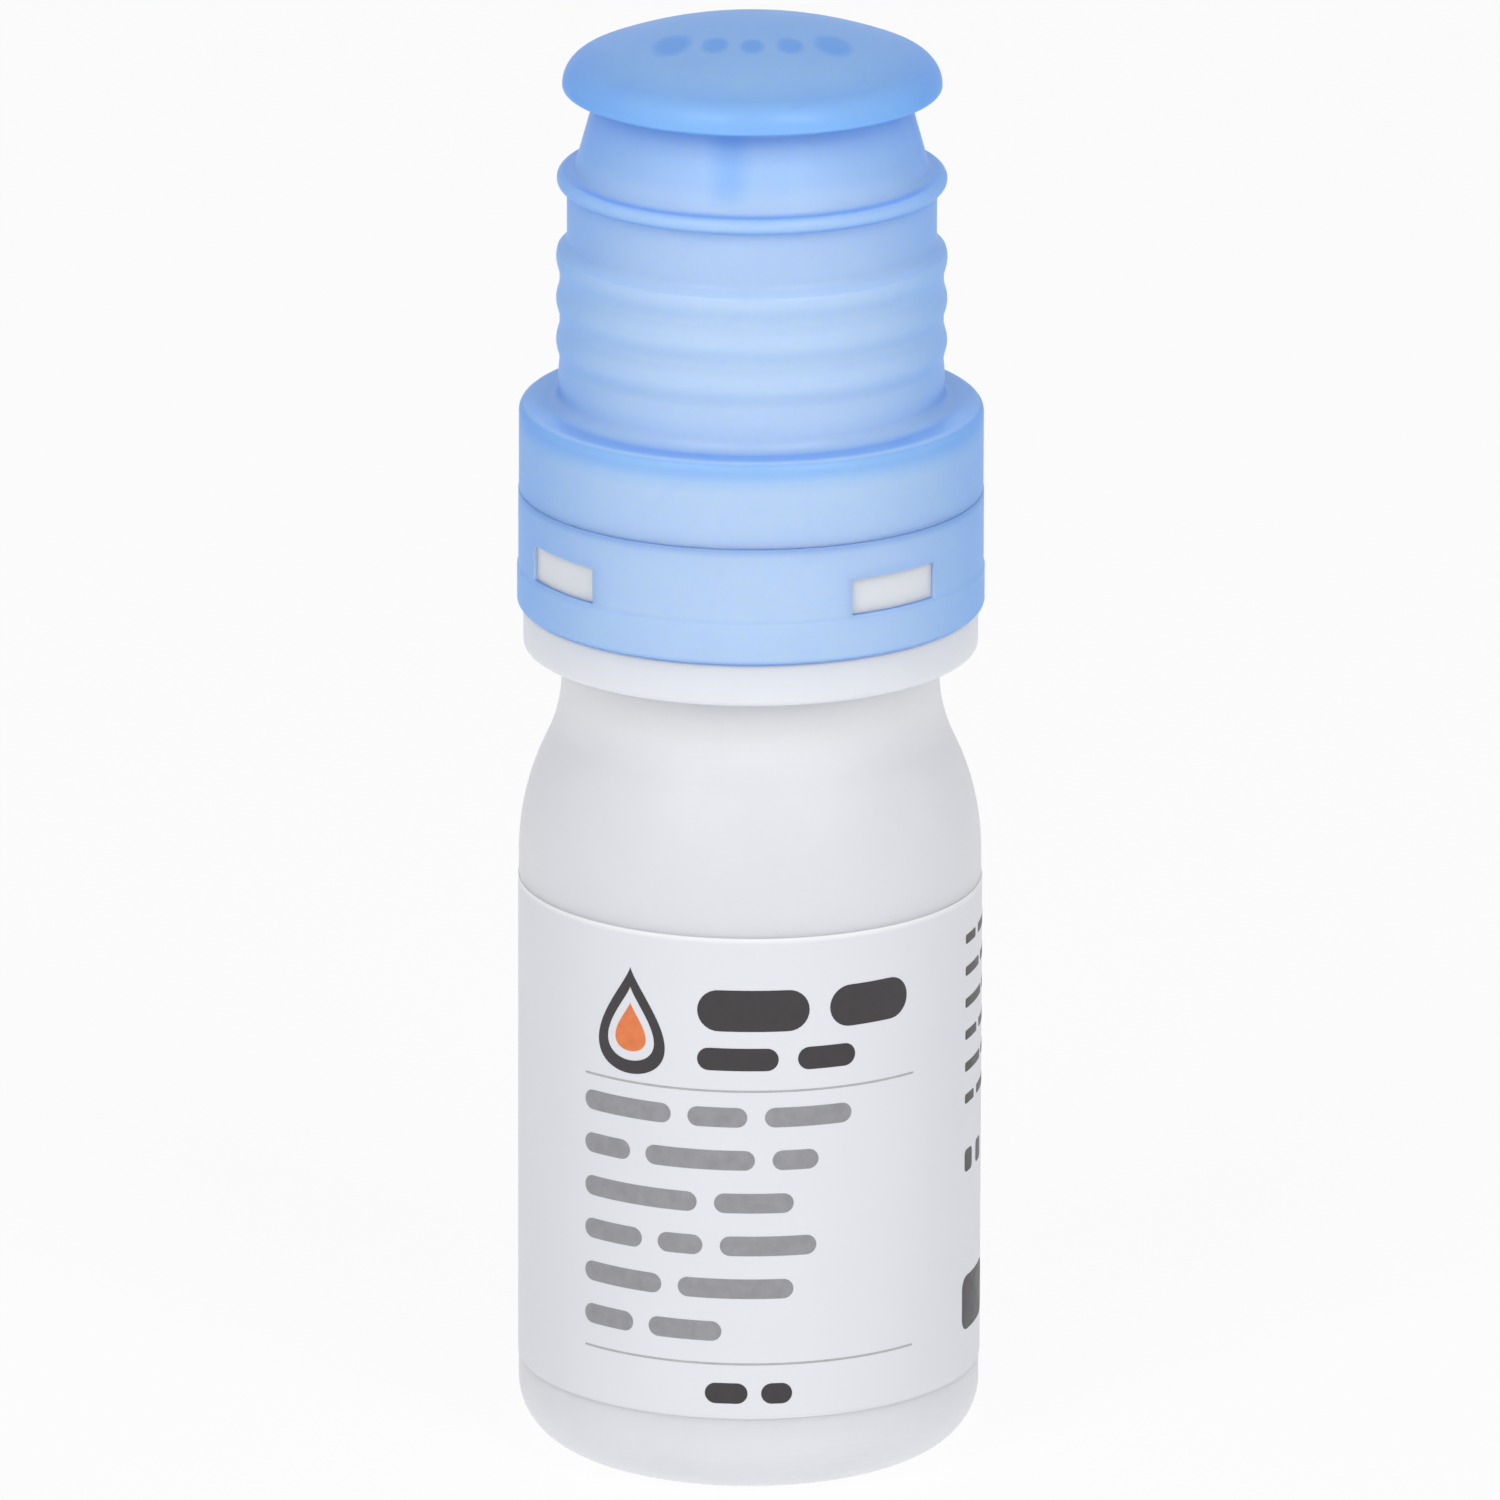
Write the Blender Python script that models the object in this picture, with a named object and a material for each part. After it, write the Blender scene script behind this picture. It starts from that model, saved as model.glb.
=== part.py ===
"""Eye drop bottle with a pump dropper, a pull-off cap and a tamper ring.

Metres, +Z up. The origin is the centre of the foot that the bottle stands on.
Angles round the bottle are counted from the front, which faces -Y, towards +X.
"""
import math

import bmesh
import bpy

# Fits between pieces
SEAT_GAP = 0.00015
SLIDE_GAP = 0.0002
PRESS_GAP = 0.0001
CUT_OVERRUN = 0.001

# How finely the turned pieces are stepped
OUTSIDE_STEPS = 48
INSIDE_STEPS = 28
CURL_POINTS = 10

# Bottle
BODY_RADIUS = 0.0119
BODY_WALL = 0.001
BODY_HEIGHT = 0.03145
SHOULDER_HEIGHT = 0.0095
SHOULDER_ROUND_SHARE = 0.62
NECK_HEIGHT = 0.0014
NECK_LEDGE = 0.00217
FOOT_ROUND = 0.0028
FOOT_RECESS_RADIUS = 0.0048
FOOT_RECESS_DEPTH = 0.0005
FINISH_WALL = 0.0012
FINISH_HEIGHT = 0.0063
FINISH_BEAD_DEPTH = 0.00045
FINISH_BEAD_HEIGHT = 0.0008
FINISH_BEAD_RISE = 0.0029

# Label
LABEL_THICKNESS = 0.0001
LABEL_GAP = 0.00006
LABEL_RISE = 0.0045
LABEL_TOP_MARGIN = 0.0012
LABEL_SEAM_GAP = 0.0006
LABEL_SEAM_ANGLE = math.radians(-96)

# Ferrule that snaps over the bottle's finish
FERRULE_WALL = 0.0008
FERRULE_ROOF = 0.00075
FERRULE_LIP_HEIGHT = 0.0007
FERRULE_ROUND = 0.0004
SPRING_ROOM = 0.0005
STOP_DEPTH = 0.0004
STOP_HEIGHT = 0.0007
STOP_RISE = 0.004

# Gasket and pump cylinder in the neck
GASKET_THICKNESS = 0.0005
FLANGE_THICKNESS = 0.0007
PUMP_BORE_RADIUS = 0.0026
PUMP_WALL = 0.001
PUMP_MOUTH_HEIGHT = 0.0018
PUMP_DEPTH = 0.0101
INLET_HOLE_RADIUS = 0.0007
INLET_HOLE_LENGTH = 0.0007

# Inlet ball and the cage over it
BALL_RADIUS = 0.0012
BALL_SIDE_ROOM = 0.0004
BALL_LIFT = 0.0006
CAGE_THICKNESS = 0.00075
CAGE_HOLE_RADIUS = 0.0009

# Sterile vent filter in the pump's flange
FILTER_RADIUS = 0.0009
FILTER_THICKNESS = 0.0003
VENT_HOLE_RADIUS = 0.0004

# Pump stroke
STROKE = 0.002
STROKE_SPARE = 0.00035

# Applicator: finger collar, housing and stem in one moulding
SKIRT_WALL = 0.00115
ROOF_THICKNESS = 0.00065
ROOF_ROUND = 0.0003
SNAP_BEAD_DEPTH = 0.0004
SNAP_BEAD_HEIGHT = 0.0007
SNAP_LEAD_HEIGHT = 0.00095
BELL_HEIGHT = 0.0021
BELL_SETBACK = 0.00026
BELL_ROUND = 0.0003
BELL_ROOM = 0.0005
HOUSING_RADIUS = 0.0083
HOUSING_WALL = 0.001
HOUSING_HEIGHT = 0.0074
HOUSING_ROUND = 0.0007
NOSE_HEIGHT = 0.0043
NOSE_RADIUS = 0.0033
SPRING_CEILING_DROP = 0.002
CHAMBER_FLOOR_DROP = 0.0006
CHAMBER_HEIGHT = 0.0031
CHAMBER_RADIUS = 0.0019
STEM_RADIUS = 0.0015
STEM_BORE_RADIUS = 0.0006

# Lugs of the applicator that hold the tamper ring by its windows
LUG_DEPTH = 0.0003
LUG_ROOM = 0.00015

# Piston on the stem
PISTON_FLOOR = 0.0008
PISTON_SLEEVE = 0.004
PISTON_LIP_DEPTH = 0.0002
PISTON_LIP_HEIGHT = 0.0008
PISTON_CAGE_ROOM = 0.0002

# Dropper tip
SOCKET_RADIUS = 0.00255
TIP_FLANGE_RADIUS = 0.0031
TIP_FLANGE_HEIGHT = 0.0006
TIP_NOSE_HEIGHT = 0.00285
TIP_ROOT_RADIUS = 0.0023
TIP_END_RADIUS = 0.0015
TIP_END_ROUND = 0.0005
TIP_BORE_RADIUS = 0.0015
ORIFICE_RADIUS = 0.00045
ORIFICE_LENGTH = 0.00115

# Valve pin that closes the tip
PIN_NEEDLE_RADIUS = 0.00035
PIN_ROD_RADIUS = 0.0009
PIN_HEAD_RADIUS = 0.0013
PIN_HEAD_HEIGHT = 0.0004
PIN_HEAD_RISE = 0.00035
PIN_TAIL_RADIUS = 0.0006
PIN_TAIL_LENGTH = 0.0011

# Springs
RETURN_SPRING_RADIUS = 0.0043
RETURN_SPRING_WIRE = 0.0006
RETURN_SPRING_CURLS = 6
TIP_SPRING_RADIUS = 0.0011
TIP_SPRING_WIRE = 0.0003
TIP_SPRING_CURLS = 3

# Tamper ring
RING_PROUD = 0.00003
RING_WALL = 0.00105
RING_HEIGHT = 0.006
RING_ROUND = 0.0003
RING_FOOT_BULGE = 0.00006
RING_FOOT_HEIGHT = 0.0022
WINDOW_RISE = 0.0022
WINDOW_HEIGHT = 0.0022
WINDOW_ANGLE = math.radians(34.5)
FIRST_WINDOW_ANGLE = math.radians(43.9)
NEXT_WINDOW_ANGLE = math.radians(-57.2)

# Cap
CAP_SETBACK = 0.00003
CAP_FLANGE_HEIGHT = 0.00455
CAP_FLANGE_ROUND = 0.0005
CAP_ROOF = 0.0011
CAP_ROOF_GAP = 0.0003
CAP_ROOM = 0.0004
CAP_WALL = 0.00112
CAP_HOLD_BEAD_DEPTH = 0.00028
CAP_HOLD_BEAD_HEIGHT = 0.0012
GRIP_BEADS = 3
GRIP_BEAD_PITCH = 0.0022
GRIP_BEAD_HEIGHT = 0.00105
GRIP_BEAD_DEPTH = 0.0002
GRIP_BEAD_RISE = 0.00326
BAND_HEIGHT = 0.0032
BAND_DEPTH = 0.00037
RIDGE_HEIGHT = 0.00084
RIDGE_DEPTH = 0.00052
THROAT_HEIGHT = 0.0043
THROAT_FOOT_RADIUS = 0.0091
THROAT_TOP_RADIUS = 0.0079
THROAT_WALL = 0.0012
MUSHROOM_RADIUS = 0.0097
MUSHROOM_EDGE_ROUND = 0.0002
MUSHROOM_SHOULDER_ROUND = 0.0015
MUSHROOM_DOME_ROUND = 0.0225
CAP_BOSS_WALL = 0.0009
CAP_BOSS_HEIGHT = 0.0015
CAP_RIB_THICKNESS = 0.0009
CAP_RIB_HEIGHT = 0.0037
CAP_RIBS = 4
CAP_RIB_ANGLE = math.radians(-8)
CAP_RIB_REACH_SHARE = 0.65

# Seal in the cap that closes on the tip
CAP_SEAL_RADIUS = 0.0025

# Radii that follow, from the ring that is level with the body's side, inwards to the finish
RING_RADIUS = BODY_RADIUS + RING_PROUD
CAP_FLANGE_RADIUS = RING_RADIUS - CAP_SETBACK
BELL_RADIUS = RING_RADIUS - BELL_SETBACK
RING_BORE = RING_RADIUS - RING_WALL
SKIRT_RADIUS = RING_BORE - SLIDE_GAP
SKIRT_BORE = SKIRT_RADIUS - SKIRT_WALL
STOP_RADIUS = SKIRT_BORE - SLIDE_GAP
FERRULE_RADIUS = STOP_RADIUS - STOP_DEPTH
FERRULE_BORE = FERRULE_RADIUS - FERRULE_WALL
FINISH_BEAD_RADIUS = FERRULE_BORE - SEAT_GAP
FINISH_RADIUS = FINISH_BEAD_RADIUS - FINISH_BEAD_DEPTH
FINISH_BORE = FINISH_RADIUS - FINISH_WALL
NECK_RADIUS = FINISH_RADIUS + NECK_LEDGE
BELL_BORE = NECK_RADIUS + BELL_ROOM
CAP_BORE = HOUSING_RADIUS + CAP_ROOM
CAP_RADIUS = CAP_BORE + CAP_WALL
PUMP_RADIUS = PUMP_BORE_RADIUS + PUMP_WALL
FILTER_OFFSET = (PUMP_RADIUS + FINISH_BORE) / 2
BALL_CHAMBER_RADIUS = BALL_RADIUS + BALL_SIDE_ROOM

# Heights that follow, from the foot upwards
SHOULDER_TOP = BODY_HEIGHT + SHOULDER_HEIGHT
LEDGE_Z = SHOULDER_TOP + NECK_HEIGHT
FINISH_TOP = LEDGE_Z + FINISH_HEIGHT
GASKET_Z = FINISH_TOP + SEAT_GAP
FLANGE_Z = GASKET_Z + GASKET_THICKNESS + SEAT_GAP
FLANGE_TOP = FLANGE_Z + FLANGE_THICKNESS
FERRULE_ROOF_Z = FLANGE_TOP + SEAT_GAP
FERRULE_TOP = FERRULE_ROOF_Z + FERRULE_ROOF
STOP_Z = LEDGE_Z + STOP_RISE
SKIRT_CEILING = FERRULE_TOP + STROKE + STROKE_SPARE
ROOF_TOP = SKIRT_CEILING + ROOF_THICKNESS
CAP_CEILING = ROOF_TOP + CAP_ROOF_GAP
CAP_FLANGE_TOP = CAP_CEILING + CAP_ROOF
CAP_FLANGE_Z = CAP_FLANGE_TOP - CAP_FLANGE_HEIGHT
RING_TOP = CAP_FLANGE_Z - SEAT_GAP
RING_Z = RING_TOP - RING_HEIGHT
BELL_TOP = RING_Z - SEAT_GAP
BELL_Z = BELL_TOP - BELL_HEIGHT
SNAP_BEAD_TOP = STOP_Z - SEAT_GAP
HOUSING_TOP = ROOF_TOP + HOUSING_HEIGHT
SPRING_CEILING = HOUSING_TOP - SPRING_CEILING_DROP
CHAMBER_FLOOR = HOUSING_TOP - CHAMBER_FLOOR_DROP
SOCKET_FLOOR = CHAMBER_FLOOR + CHAMBER_HEIGHT
NOSE_TOP = HOUSING_TOP + HOUSING_ROUND + NOSE_HEIGHT
PUMP_BOTTOM = FLANGE_Z - PUMP_DEPTH
SEAT_Z = PUMP_BOTTOM + INLET_HOLE_LENGTH
BALL_CHAMBER_Z = SEAT_Z + BALL_CHAMBER_RADIUS - INLET_HOLE_RADIUS
BALL_SEAT_GAP = PRESS_GAP
BALL_Z = SEAT_Z - INLET_HOLE_RADIUS + (BALL_RADIUS + BALL_SEAT_GAP) * math.sqrt(2)
CAGE_LEDGE_Z = BALL_Z + BALL_RADIUS + BALL_LIFT
CAGE_Z = CAGE_LEDGE_Z + SEAT_GAP
CAGE_TOP = CAGE_Z + CAGE_THICKNESS
PISTON_Z = CAGE_TOP + PISTON_CAGE_ROOM + STROKE
STEM_Z = PISTON_Z + PISTON_FLOOR + PRESS_GAP
TIP_FLANGE_Z = NOSE_TOP + SEAT_GAP
TIP_ROOT_Z = TIP_FLANGE_Z + TIP_FLANGE_HEIGHT
TIP_TOP = TIP_ROOT_Z + TIP_NOSE_HEIGHT
TIP_PLUG_Z = SOCKET_FLOOR + SEAT_GAP
TIP_SEAT_TOP = TIP_TOP - ORIFICE_LENGTH
PIN_HEAD_Z = TIP_PLUG_Z + PIN_HEAD_RISE
GRIP_Z = CAP_FLANGE_TOP + GRIP_BEAD_RISE
GRIP_TOP = GRIP_Z + (GRIP_BEADS - 1) * GRIP_BEAD_PITCH + GRIP_BEAD_HEIGHT / 2
BAND_TOP = GRIP_TOP + BAND_HEIGHT
RIDGE_TOP = BAND_TOP + RIDGE_HEIGHT
THROAT_TOP = RIDGE_TOP + THROAT_HEIGHT
MUSHROOM_RIM_Z = THROAT_TOP + MUSHROOM_EDGE_ROUND
CAP_SEAL_Z = TIP_TOP + SEAT_GAP


def clear_scene():
    """Remove every object that the file starts with."""
    for found in list(bpy.data.objects):
        bpy.data.objects.remove(found, do_unlink=True)


def plastic(name, colour, roughness, metallic=0.0):
    """Principled material of one plain finish."""
    material = bpy.data.materials.new(name)
    material.use_nodes = True
    shader = material.node_tree.nodes["Principled BSDF"]
    shader.inputs["Base Color"].default_value = (*colour, 1.0)
    shader.inputs["Roughness"].default_value = roughness
    shader.inputs["Metallic"].default_value = metallic
    return material


def arc(centre, radius, start, end, steps):
    """Points of a round stretch, from one angle to another, both ends included."""
    points = []
    for step in range(steps + 1):
        angle = start + (end - start) * step / steps
        points.append((centre[0] + radius * math.cos(angle), centre[1] + radius * math.sin(angle)))
    return points


def turn_angle(front_angle):
    """Angle from +X of a place that is counted from the front."""
    return front_angle - math.pi / 2


def finish_object(name, mesh, material, sharp_angle=math.radians(35)):
    """Link a mesh as one smooth-shaded object."""
    mesh.materials.append(material)
    mesh.shade_smooth()
    mesh.set_sharp_from_angle(angle=sharp_angle)
    made = bpy.data.objects.new(name, mesh)
    bpy.context.scene.collection.objects.link(made)
    return made


def turned(name, outline, material, steps=INSIDE_STEPS, origin_z=0.0):
    """Solid of revolution. The outline runs down the outer side, then up the inner one."""
    mesh = bpy.data.meshes.new(name)
    shape = bmesh.new()
    points = [shape.verts.new((radius, 0.0, height - origin_z)) for radius, height in outline]
    edges = [shape.edges.new(pair) for pair in zip(points, points[1:])]
    reaches_axis = outline[0][0] == 0.0 and outline[-1][0] == 0.0
    if not reaches_axis:
        edges.append(shape.edges.new((points[-1], points[0])))
    bmesh.ops.spin(
        shape, geom=points + edges, cent=(0, 0, 0), axis=(0, 0, 1),
        angle=2 * math.pi, steps=steps, use_merge=True,
    )
    bmesh.ops.remove_doubles(shape, verts=shape.verts, dist=PRESS_GAP / 1000)
    bmesh.ops.recalc_face_normals(shape, faces=shape.faces)
    shape.to_mesh(mesh)
    shape.free()
    made = finish_object(name, mesh, material)
    made.location.z = origin_z
    return made


def sector(name, inner, outer, bottom, top, middle_angle, width_angle, material, steps=8):
    """Block that follows the round of the bottle between two radii and two heights."""
    mesh = bpy.data.meshes.new(name)
    shape = bmesh.new()
    start = turn_angle(middle_angle - width_angle / 2)
    corners = ((inner, bottom), (outer, bottom), (outer, top), (inner, top))
    rim = [
        shape.verts.new((radius * math.cos(start), radius * math.sin(start), height))
        for radius, height in corners
    ]
    shape.faces.new(rim)
    bmesh.ops.spin(
        shape, geom=shape.faces[:], cent=(0, 0, 0), axis=(0, 0, 1),
        angle=width_angle, steps=steps, use_merge=False,
    )
    bmesh.ops.recalc_face_normals(shape, faces=shape.faces)
    shape.to_mesh(mesh)
    shape.free()
    return finish_object(name, mesh, material)


def block(name, low, high, turn, material):
    """Box between two corners, turned about the bottle's axis."""
    mesh = bpy.data.meshes.new(name)
    shape = bmesh.new()
    bmesh.ops.create_cube(shape, size=1.0)
    for corner in shape.verts:
        for axis in range(3):
            middle = (low[axis] + high[axis]) / 2
            corner.co[axis] = middle + corner.co[axis] * (high[axis] - low[axis])
    shape.to_mesh(mesh)
    shape.free()
    made = finish_object(name, mesh, material)
    made.rotation_euler.z = turn
    return made


def rod(name, radius, bottom, top, offset, material):
    """Upright round rod, set out from the axis along +X."""
    made = turned(name, [(0.0, top), (radius, top), (radius, bottom), (0.0, bottom)], material)
    made.location.x = offset
    return made


def combine(target, tool, operation):
    """Join a helper shape to a piece, or cut it out of the piece."""
    modifier = target.modifiers.new(operation.title() + " " + tool.name, "BOOLEAN")
    modifier.operation = operation
    modifier.object = tool
    tool.hide_render = True
    tool.display_type = "WIRE"


def least_gap(points, wire):
    """Smallest space between two curls of one wire."""
    least = math.inf
    for index, point in enumerate(points):
        for other in points[index + CURL_POINTS // 2 + 1:]:
            least = min(least, math.dist(point, other) - wire)
    return least


def coil(name, radius, wire, bottom, top, curls, material):
    """Compression spring: one round wire whose ends run straight for one diameter."""
    low = bottom + 1.5 * wire
    high = top - 1.5 * wire
    count = curls * CURL_POINTS
    points = [(radius, 0.0, bottom)]
    for step in range(count + 1):
        angle = 2 * math.pi * step / CURL_POINTS
        height = low + (high - low) * step / count
        points.append((radius * math.cos(angle), radius * math.sin(angle), height))
    points.append((radius, 0.0, top))
    print(name, "least gap between curls", round(least_gap(points[1:-1], wire) * 1000, 3), "mm")
    curve = bpy.data.curves.new(name, "CURVE")
    curve.dimensions = "3D"
    curve.bevel_depth = wire / 2
    curve.bevel_resolution = 1
    curve.use_fill_caps = True
    spline = curve.splines.new("POLY")
    spline.points.add(len(points) - 1)
    for target, place in zip(spline.points, points):
        target.co = (place[0], place[1], place[2] - bottom, 1.0)
    curve.materials.append(material)
    made = bpy.data.objects.new(name, curve)
    made.location.z = bottom
    bpy.context.scene.collection.objects.link(made)
    return made


def shoulder(wall):
    """Ogee from body to neck as two arcs that meet at one slope, drawn in by a wall."""
    drop = BODY_RADIUS - NECK_RADIUS
    slope = 2 * math.atan2(drop, SHOULDER_HEIGHT)
    both_rounds = SHOULDER_HEIGHT / math.sin(slope)
    round_out = both_rounds * SHOULDER_ROUND_SHARE
    round_in = both_rounds - round_out
    upper = arc(
        (NECK_RADIUS + round_in, SHOULDER_TOP), round_in + wall, math.pi, math.pi + slope, 3)
    lower = arc((BODY_RADIUS - round_out, BODY_HEIGHT), round_out - wall, slope, 0.0, 5)
    return upper + lower[1:]


def make_bottle(material):
    """Round bottle with a snap finish, hollow down to a thin floor."""
    bead_z = LEDGE_Z + FINISH_BEAD_RISE
    bead_top = bead_z + FINISH_BEAD_HEIGHT
    foot_radius = BODY_RADIUS - FOOT_ROUND
    inner_round = FOOT_ROUND - BODY_WALL
    inner_neck_top = LEDGE_Z - BODY_WALL
    outline = [
        (FINISH_BORE, FINISH_TOP),
        (FINISH_RADIUS, FINISH_TOP),
        (FINISH_RADIUS, bead_top + FINISH_BEAD_DEPTH),
        (FINISH_BEAD_RADIUS, bead_top),
        (FINISH_BEAD_RADIUS, bead_z),
        (FINISH_RADIUS, bead_z - FINISH_BEAD_DEPTH),
        (FINISH_RADIUS, LEDGE_Z),
        (NECK_RADIUS, LEDGE_Z),
    ]
    outline += shoulder(0.0)
    outline += arc((foot_radius, FOOT_ROUND), FOOT_ROUND, 0.0, -math.pi / 2, 5)
    outline += [
        (FOOT_RECESS_RADIUS + FOOT_RECESS_DEPTH, 0.0),
        (FOOT_RECESS_RADIUS, FOOT_RECESS_DEPTH),
        (0.0, FOOT_RECESS_DEPTH),
    ]
    inside = [
        (FINISH_BORE, inner_neck_top),
        (NECK_RADIUS - BODY_WALL, inner_neck_top),
    ]
    inside += shoulder(BODY_WALL)
    inside += arc((foot_radius, FOOT_ROUND), inner_round, 0.0, -math.pi / 2, 3)
    inside += [
        (FOOT_RECESS_RADIUS + FOOT_RECESS_DEPTH, BODY_WALL),
        (FOOT_RECESS_RADIUS, FOOT_RECESS_DEPTH + BODY_WALL),
        (0.0, FOOT_RECESS_DEPTH + BODY_WALL),
    ]
    return turned("bottle", list(reversed(inside)) + outline, material, OUTSIDE_STEPS)


def make_label(material):
    """Paper-thin sleeve round the body, open at its seam."""
    inner = BODY_RADIUS + LABEL_GAP
    seam_angle = LABEL_SEAM_GAP / BODY_RADIUS
    return sector(
        "label", inner, inner + LABEL_THICKNESS, LABEL_RISE, BODY_HEIGHT - LABEL_TOP_MARGIN,
        LABEL_SEAM_ANGLE + math.pi, 2 * math.pi - seam_angle, material, OUTSIDE_STEPS)


def make_gasket(material):
    """Flat ring between the bottle's rim and the pump's flange."""
    inner = FINISH_BORE + SEAT_GAP
    outer = FINISH_RADIUS - SEAT_GAP
    top = GASKET_Z + GASKET_THICKNESS
    return turned(
        "neck_gasket", [(inner, top), (outer, top), (outer, GASKET_Z), (inner, GASKET_Z)], material)


def make_ferrule(material):
    """Ring that snaps under the finish bead and stops the applicator's upward travel."""
    bead_z = LEDGE_Z + FINISH_BEAD_RISE
    lip_top = bead_z - FINISH_BEAD_DEPTH - SEAT_GAP
    lip_z = lip_top - FERRULE_LIP_HEIGHT
    lip_radius = FINISH_RADIUS + SEAT_GAP
    lip_depth = FERRULE_BORE - lip_radius
    bottom = LEDGE_Z + SLIDE_GAP
    hole = RETURN_SPRING_RADIUS + RETURN_SPRING_WIRE / 2 + SPRING_ROOM
    outline = [
        (hole, FERRULE_TOP),
        (FERRULE_RADIUS - FERRULE_ROUND, FERRULE_TOP),
        (FERRULE_RADIUS, FERRULE_TOP - FERRULE_ROUND),
        (FERRULE_RADIUS, STOP_Z + STOP_HEIGHT),
        (STOP_RADIUS, STOP_Z + STOP_HEIGHT),
        (STOP_RADIUS, STOP_Z),
        (FERRULE_RADIUS, STOP_Z),
        (FERRULE_RADIUS, bottom),
        (FERRULE_BORE, bottom),
        (FERRULE_BORE, lip_z - lip_depth),
        (lip_radius, lip_z),
        (lip_radius, lip_top),
        (FERRULE_BORE, lip_top),
        (FERRULE_BORE, FERRULE_ROOF_Z),
        (hole, FERRULE_ROOF_Z),
    ]
    return turned("snap_ferrule", outline, material)


def make_pump_cylinder(material):
    """Cylinder that hangs in the neck by its flange, with the inlet seat at its bottom."""
    mouth = FLANGE_TOP + PUMP_MOUTH_HEIGHT
    flange_radius = FINISH_RADIUS - SEAT_GAP
    outline = [
        (PUMP_BORE_RADIUS, mouth),
        (PUMP_RADIUS, mouth),
        (PUMP_RADIUS, FLANGE_TOP),
        (flange_radius, FLANGE_TOP),
        (flange_radius, FLANGE_Z),
        (PUMP_RADIUS, FLANGE_Z),
        (PUMP_RADIUS, PUMP_BOTTOM),
        (INLET_HOLE_RADIUS, PUMP_BOTTOM),
        (INLET_HOLE_RADIUS, SEAT_Z),
        (BALL_CHAMBER_RADIUS, BALL_CHAMBER_Z),
        (BALL_CHAMBER_RADIUS, CAGE_LEDGE_Z),
        (PUMP_BORE_RADIUS, CAGE_LEDGE_Z),
    ]
    cylinder = turned("pump_cylinder", outline, material)
    pocket_z = FLANGE_TOP - FILTER_THICKNESS - 2 * PRESS_GAP
    pocket = rod(
        "filter_pocket", FILTER_RADIUS + PRESS_GAP, pocket_z, FLANGE_TOP + CUT_OVERRUN,
        FILTER_OFFSET, material)
    vent = rod(
        "vent_hole", VENT_HOLE_RADIUS, FLANGE_Z - CUT_OVERRUN, FLANGE_TOP, FILTER_OFFSET, material)
    combine(cylinder, pocket, "DIFFERENCE")
    combine(cylinder, vent, "DIFFERENCE")
    return cylinder


def make_vent_filter(material):
    """Porous disc that lets clean air into the bottle."""
    top = FLANGE_TOP - PRESS_GAP
    return rod(
        "vent_filter", FILTER_RADIUS, top - FILTER_THICKNESS, top, FILTER_OFFSET, material)


def make_ball_cage(material):
    """Disc with a hole smaller than the ball, which limits the ball's lift."""
    outer = PUMP_BORE_RADIUS - PRESS_GAP
    outline = [
        (CAGE_HOLE_RADIUS, CAGE_TOP), (outer, CAGE_TOP), (outer, CAGE_Z), (CAGE_HOLE_RADIUS, CAGE_Z)]
    return turned("ball_cage", outline, material)


def make_inlet_ball(material):
    """Steel ball on the inlet seat."""
    outline = arc((0.0, BALL_Z), BALL_RADIUS, math.pi / 2, -math.pi / 2, 8)
    outline[0] = (0.0, BALL_Z + BALL_RADIUS)
    outline[-1] = (0.0, BALL_Z - BALL_RADIUS)
    return turned("inlet_ball", outline, material, INSIDE_STEPS // 2, BALL_Z)


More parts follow.
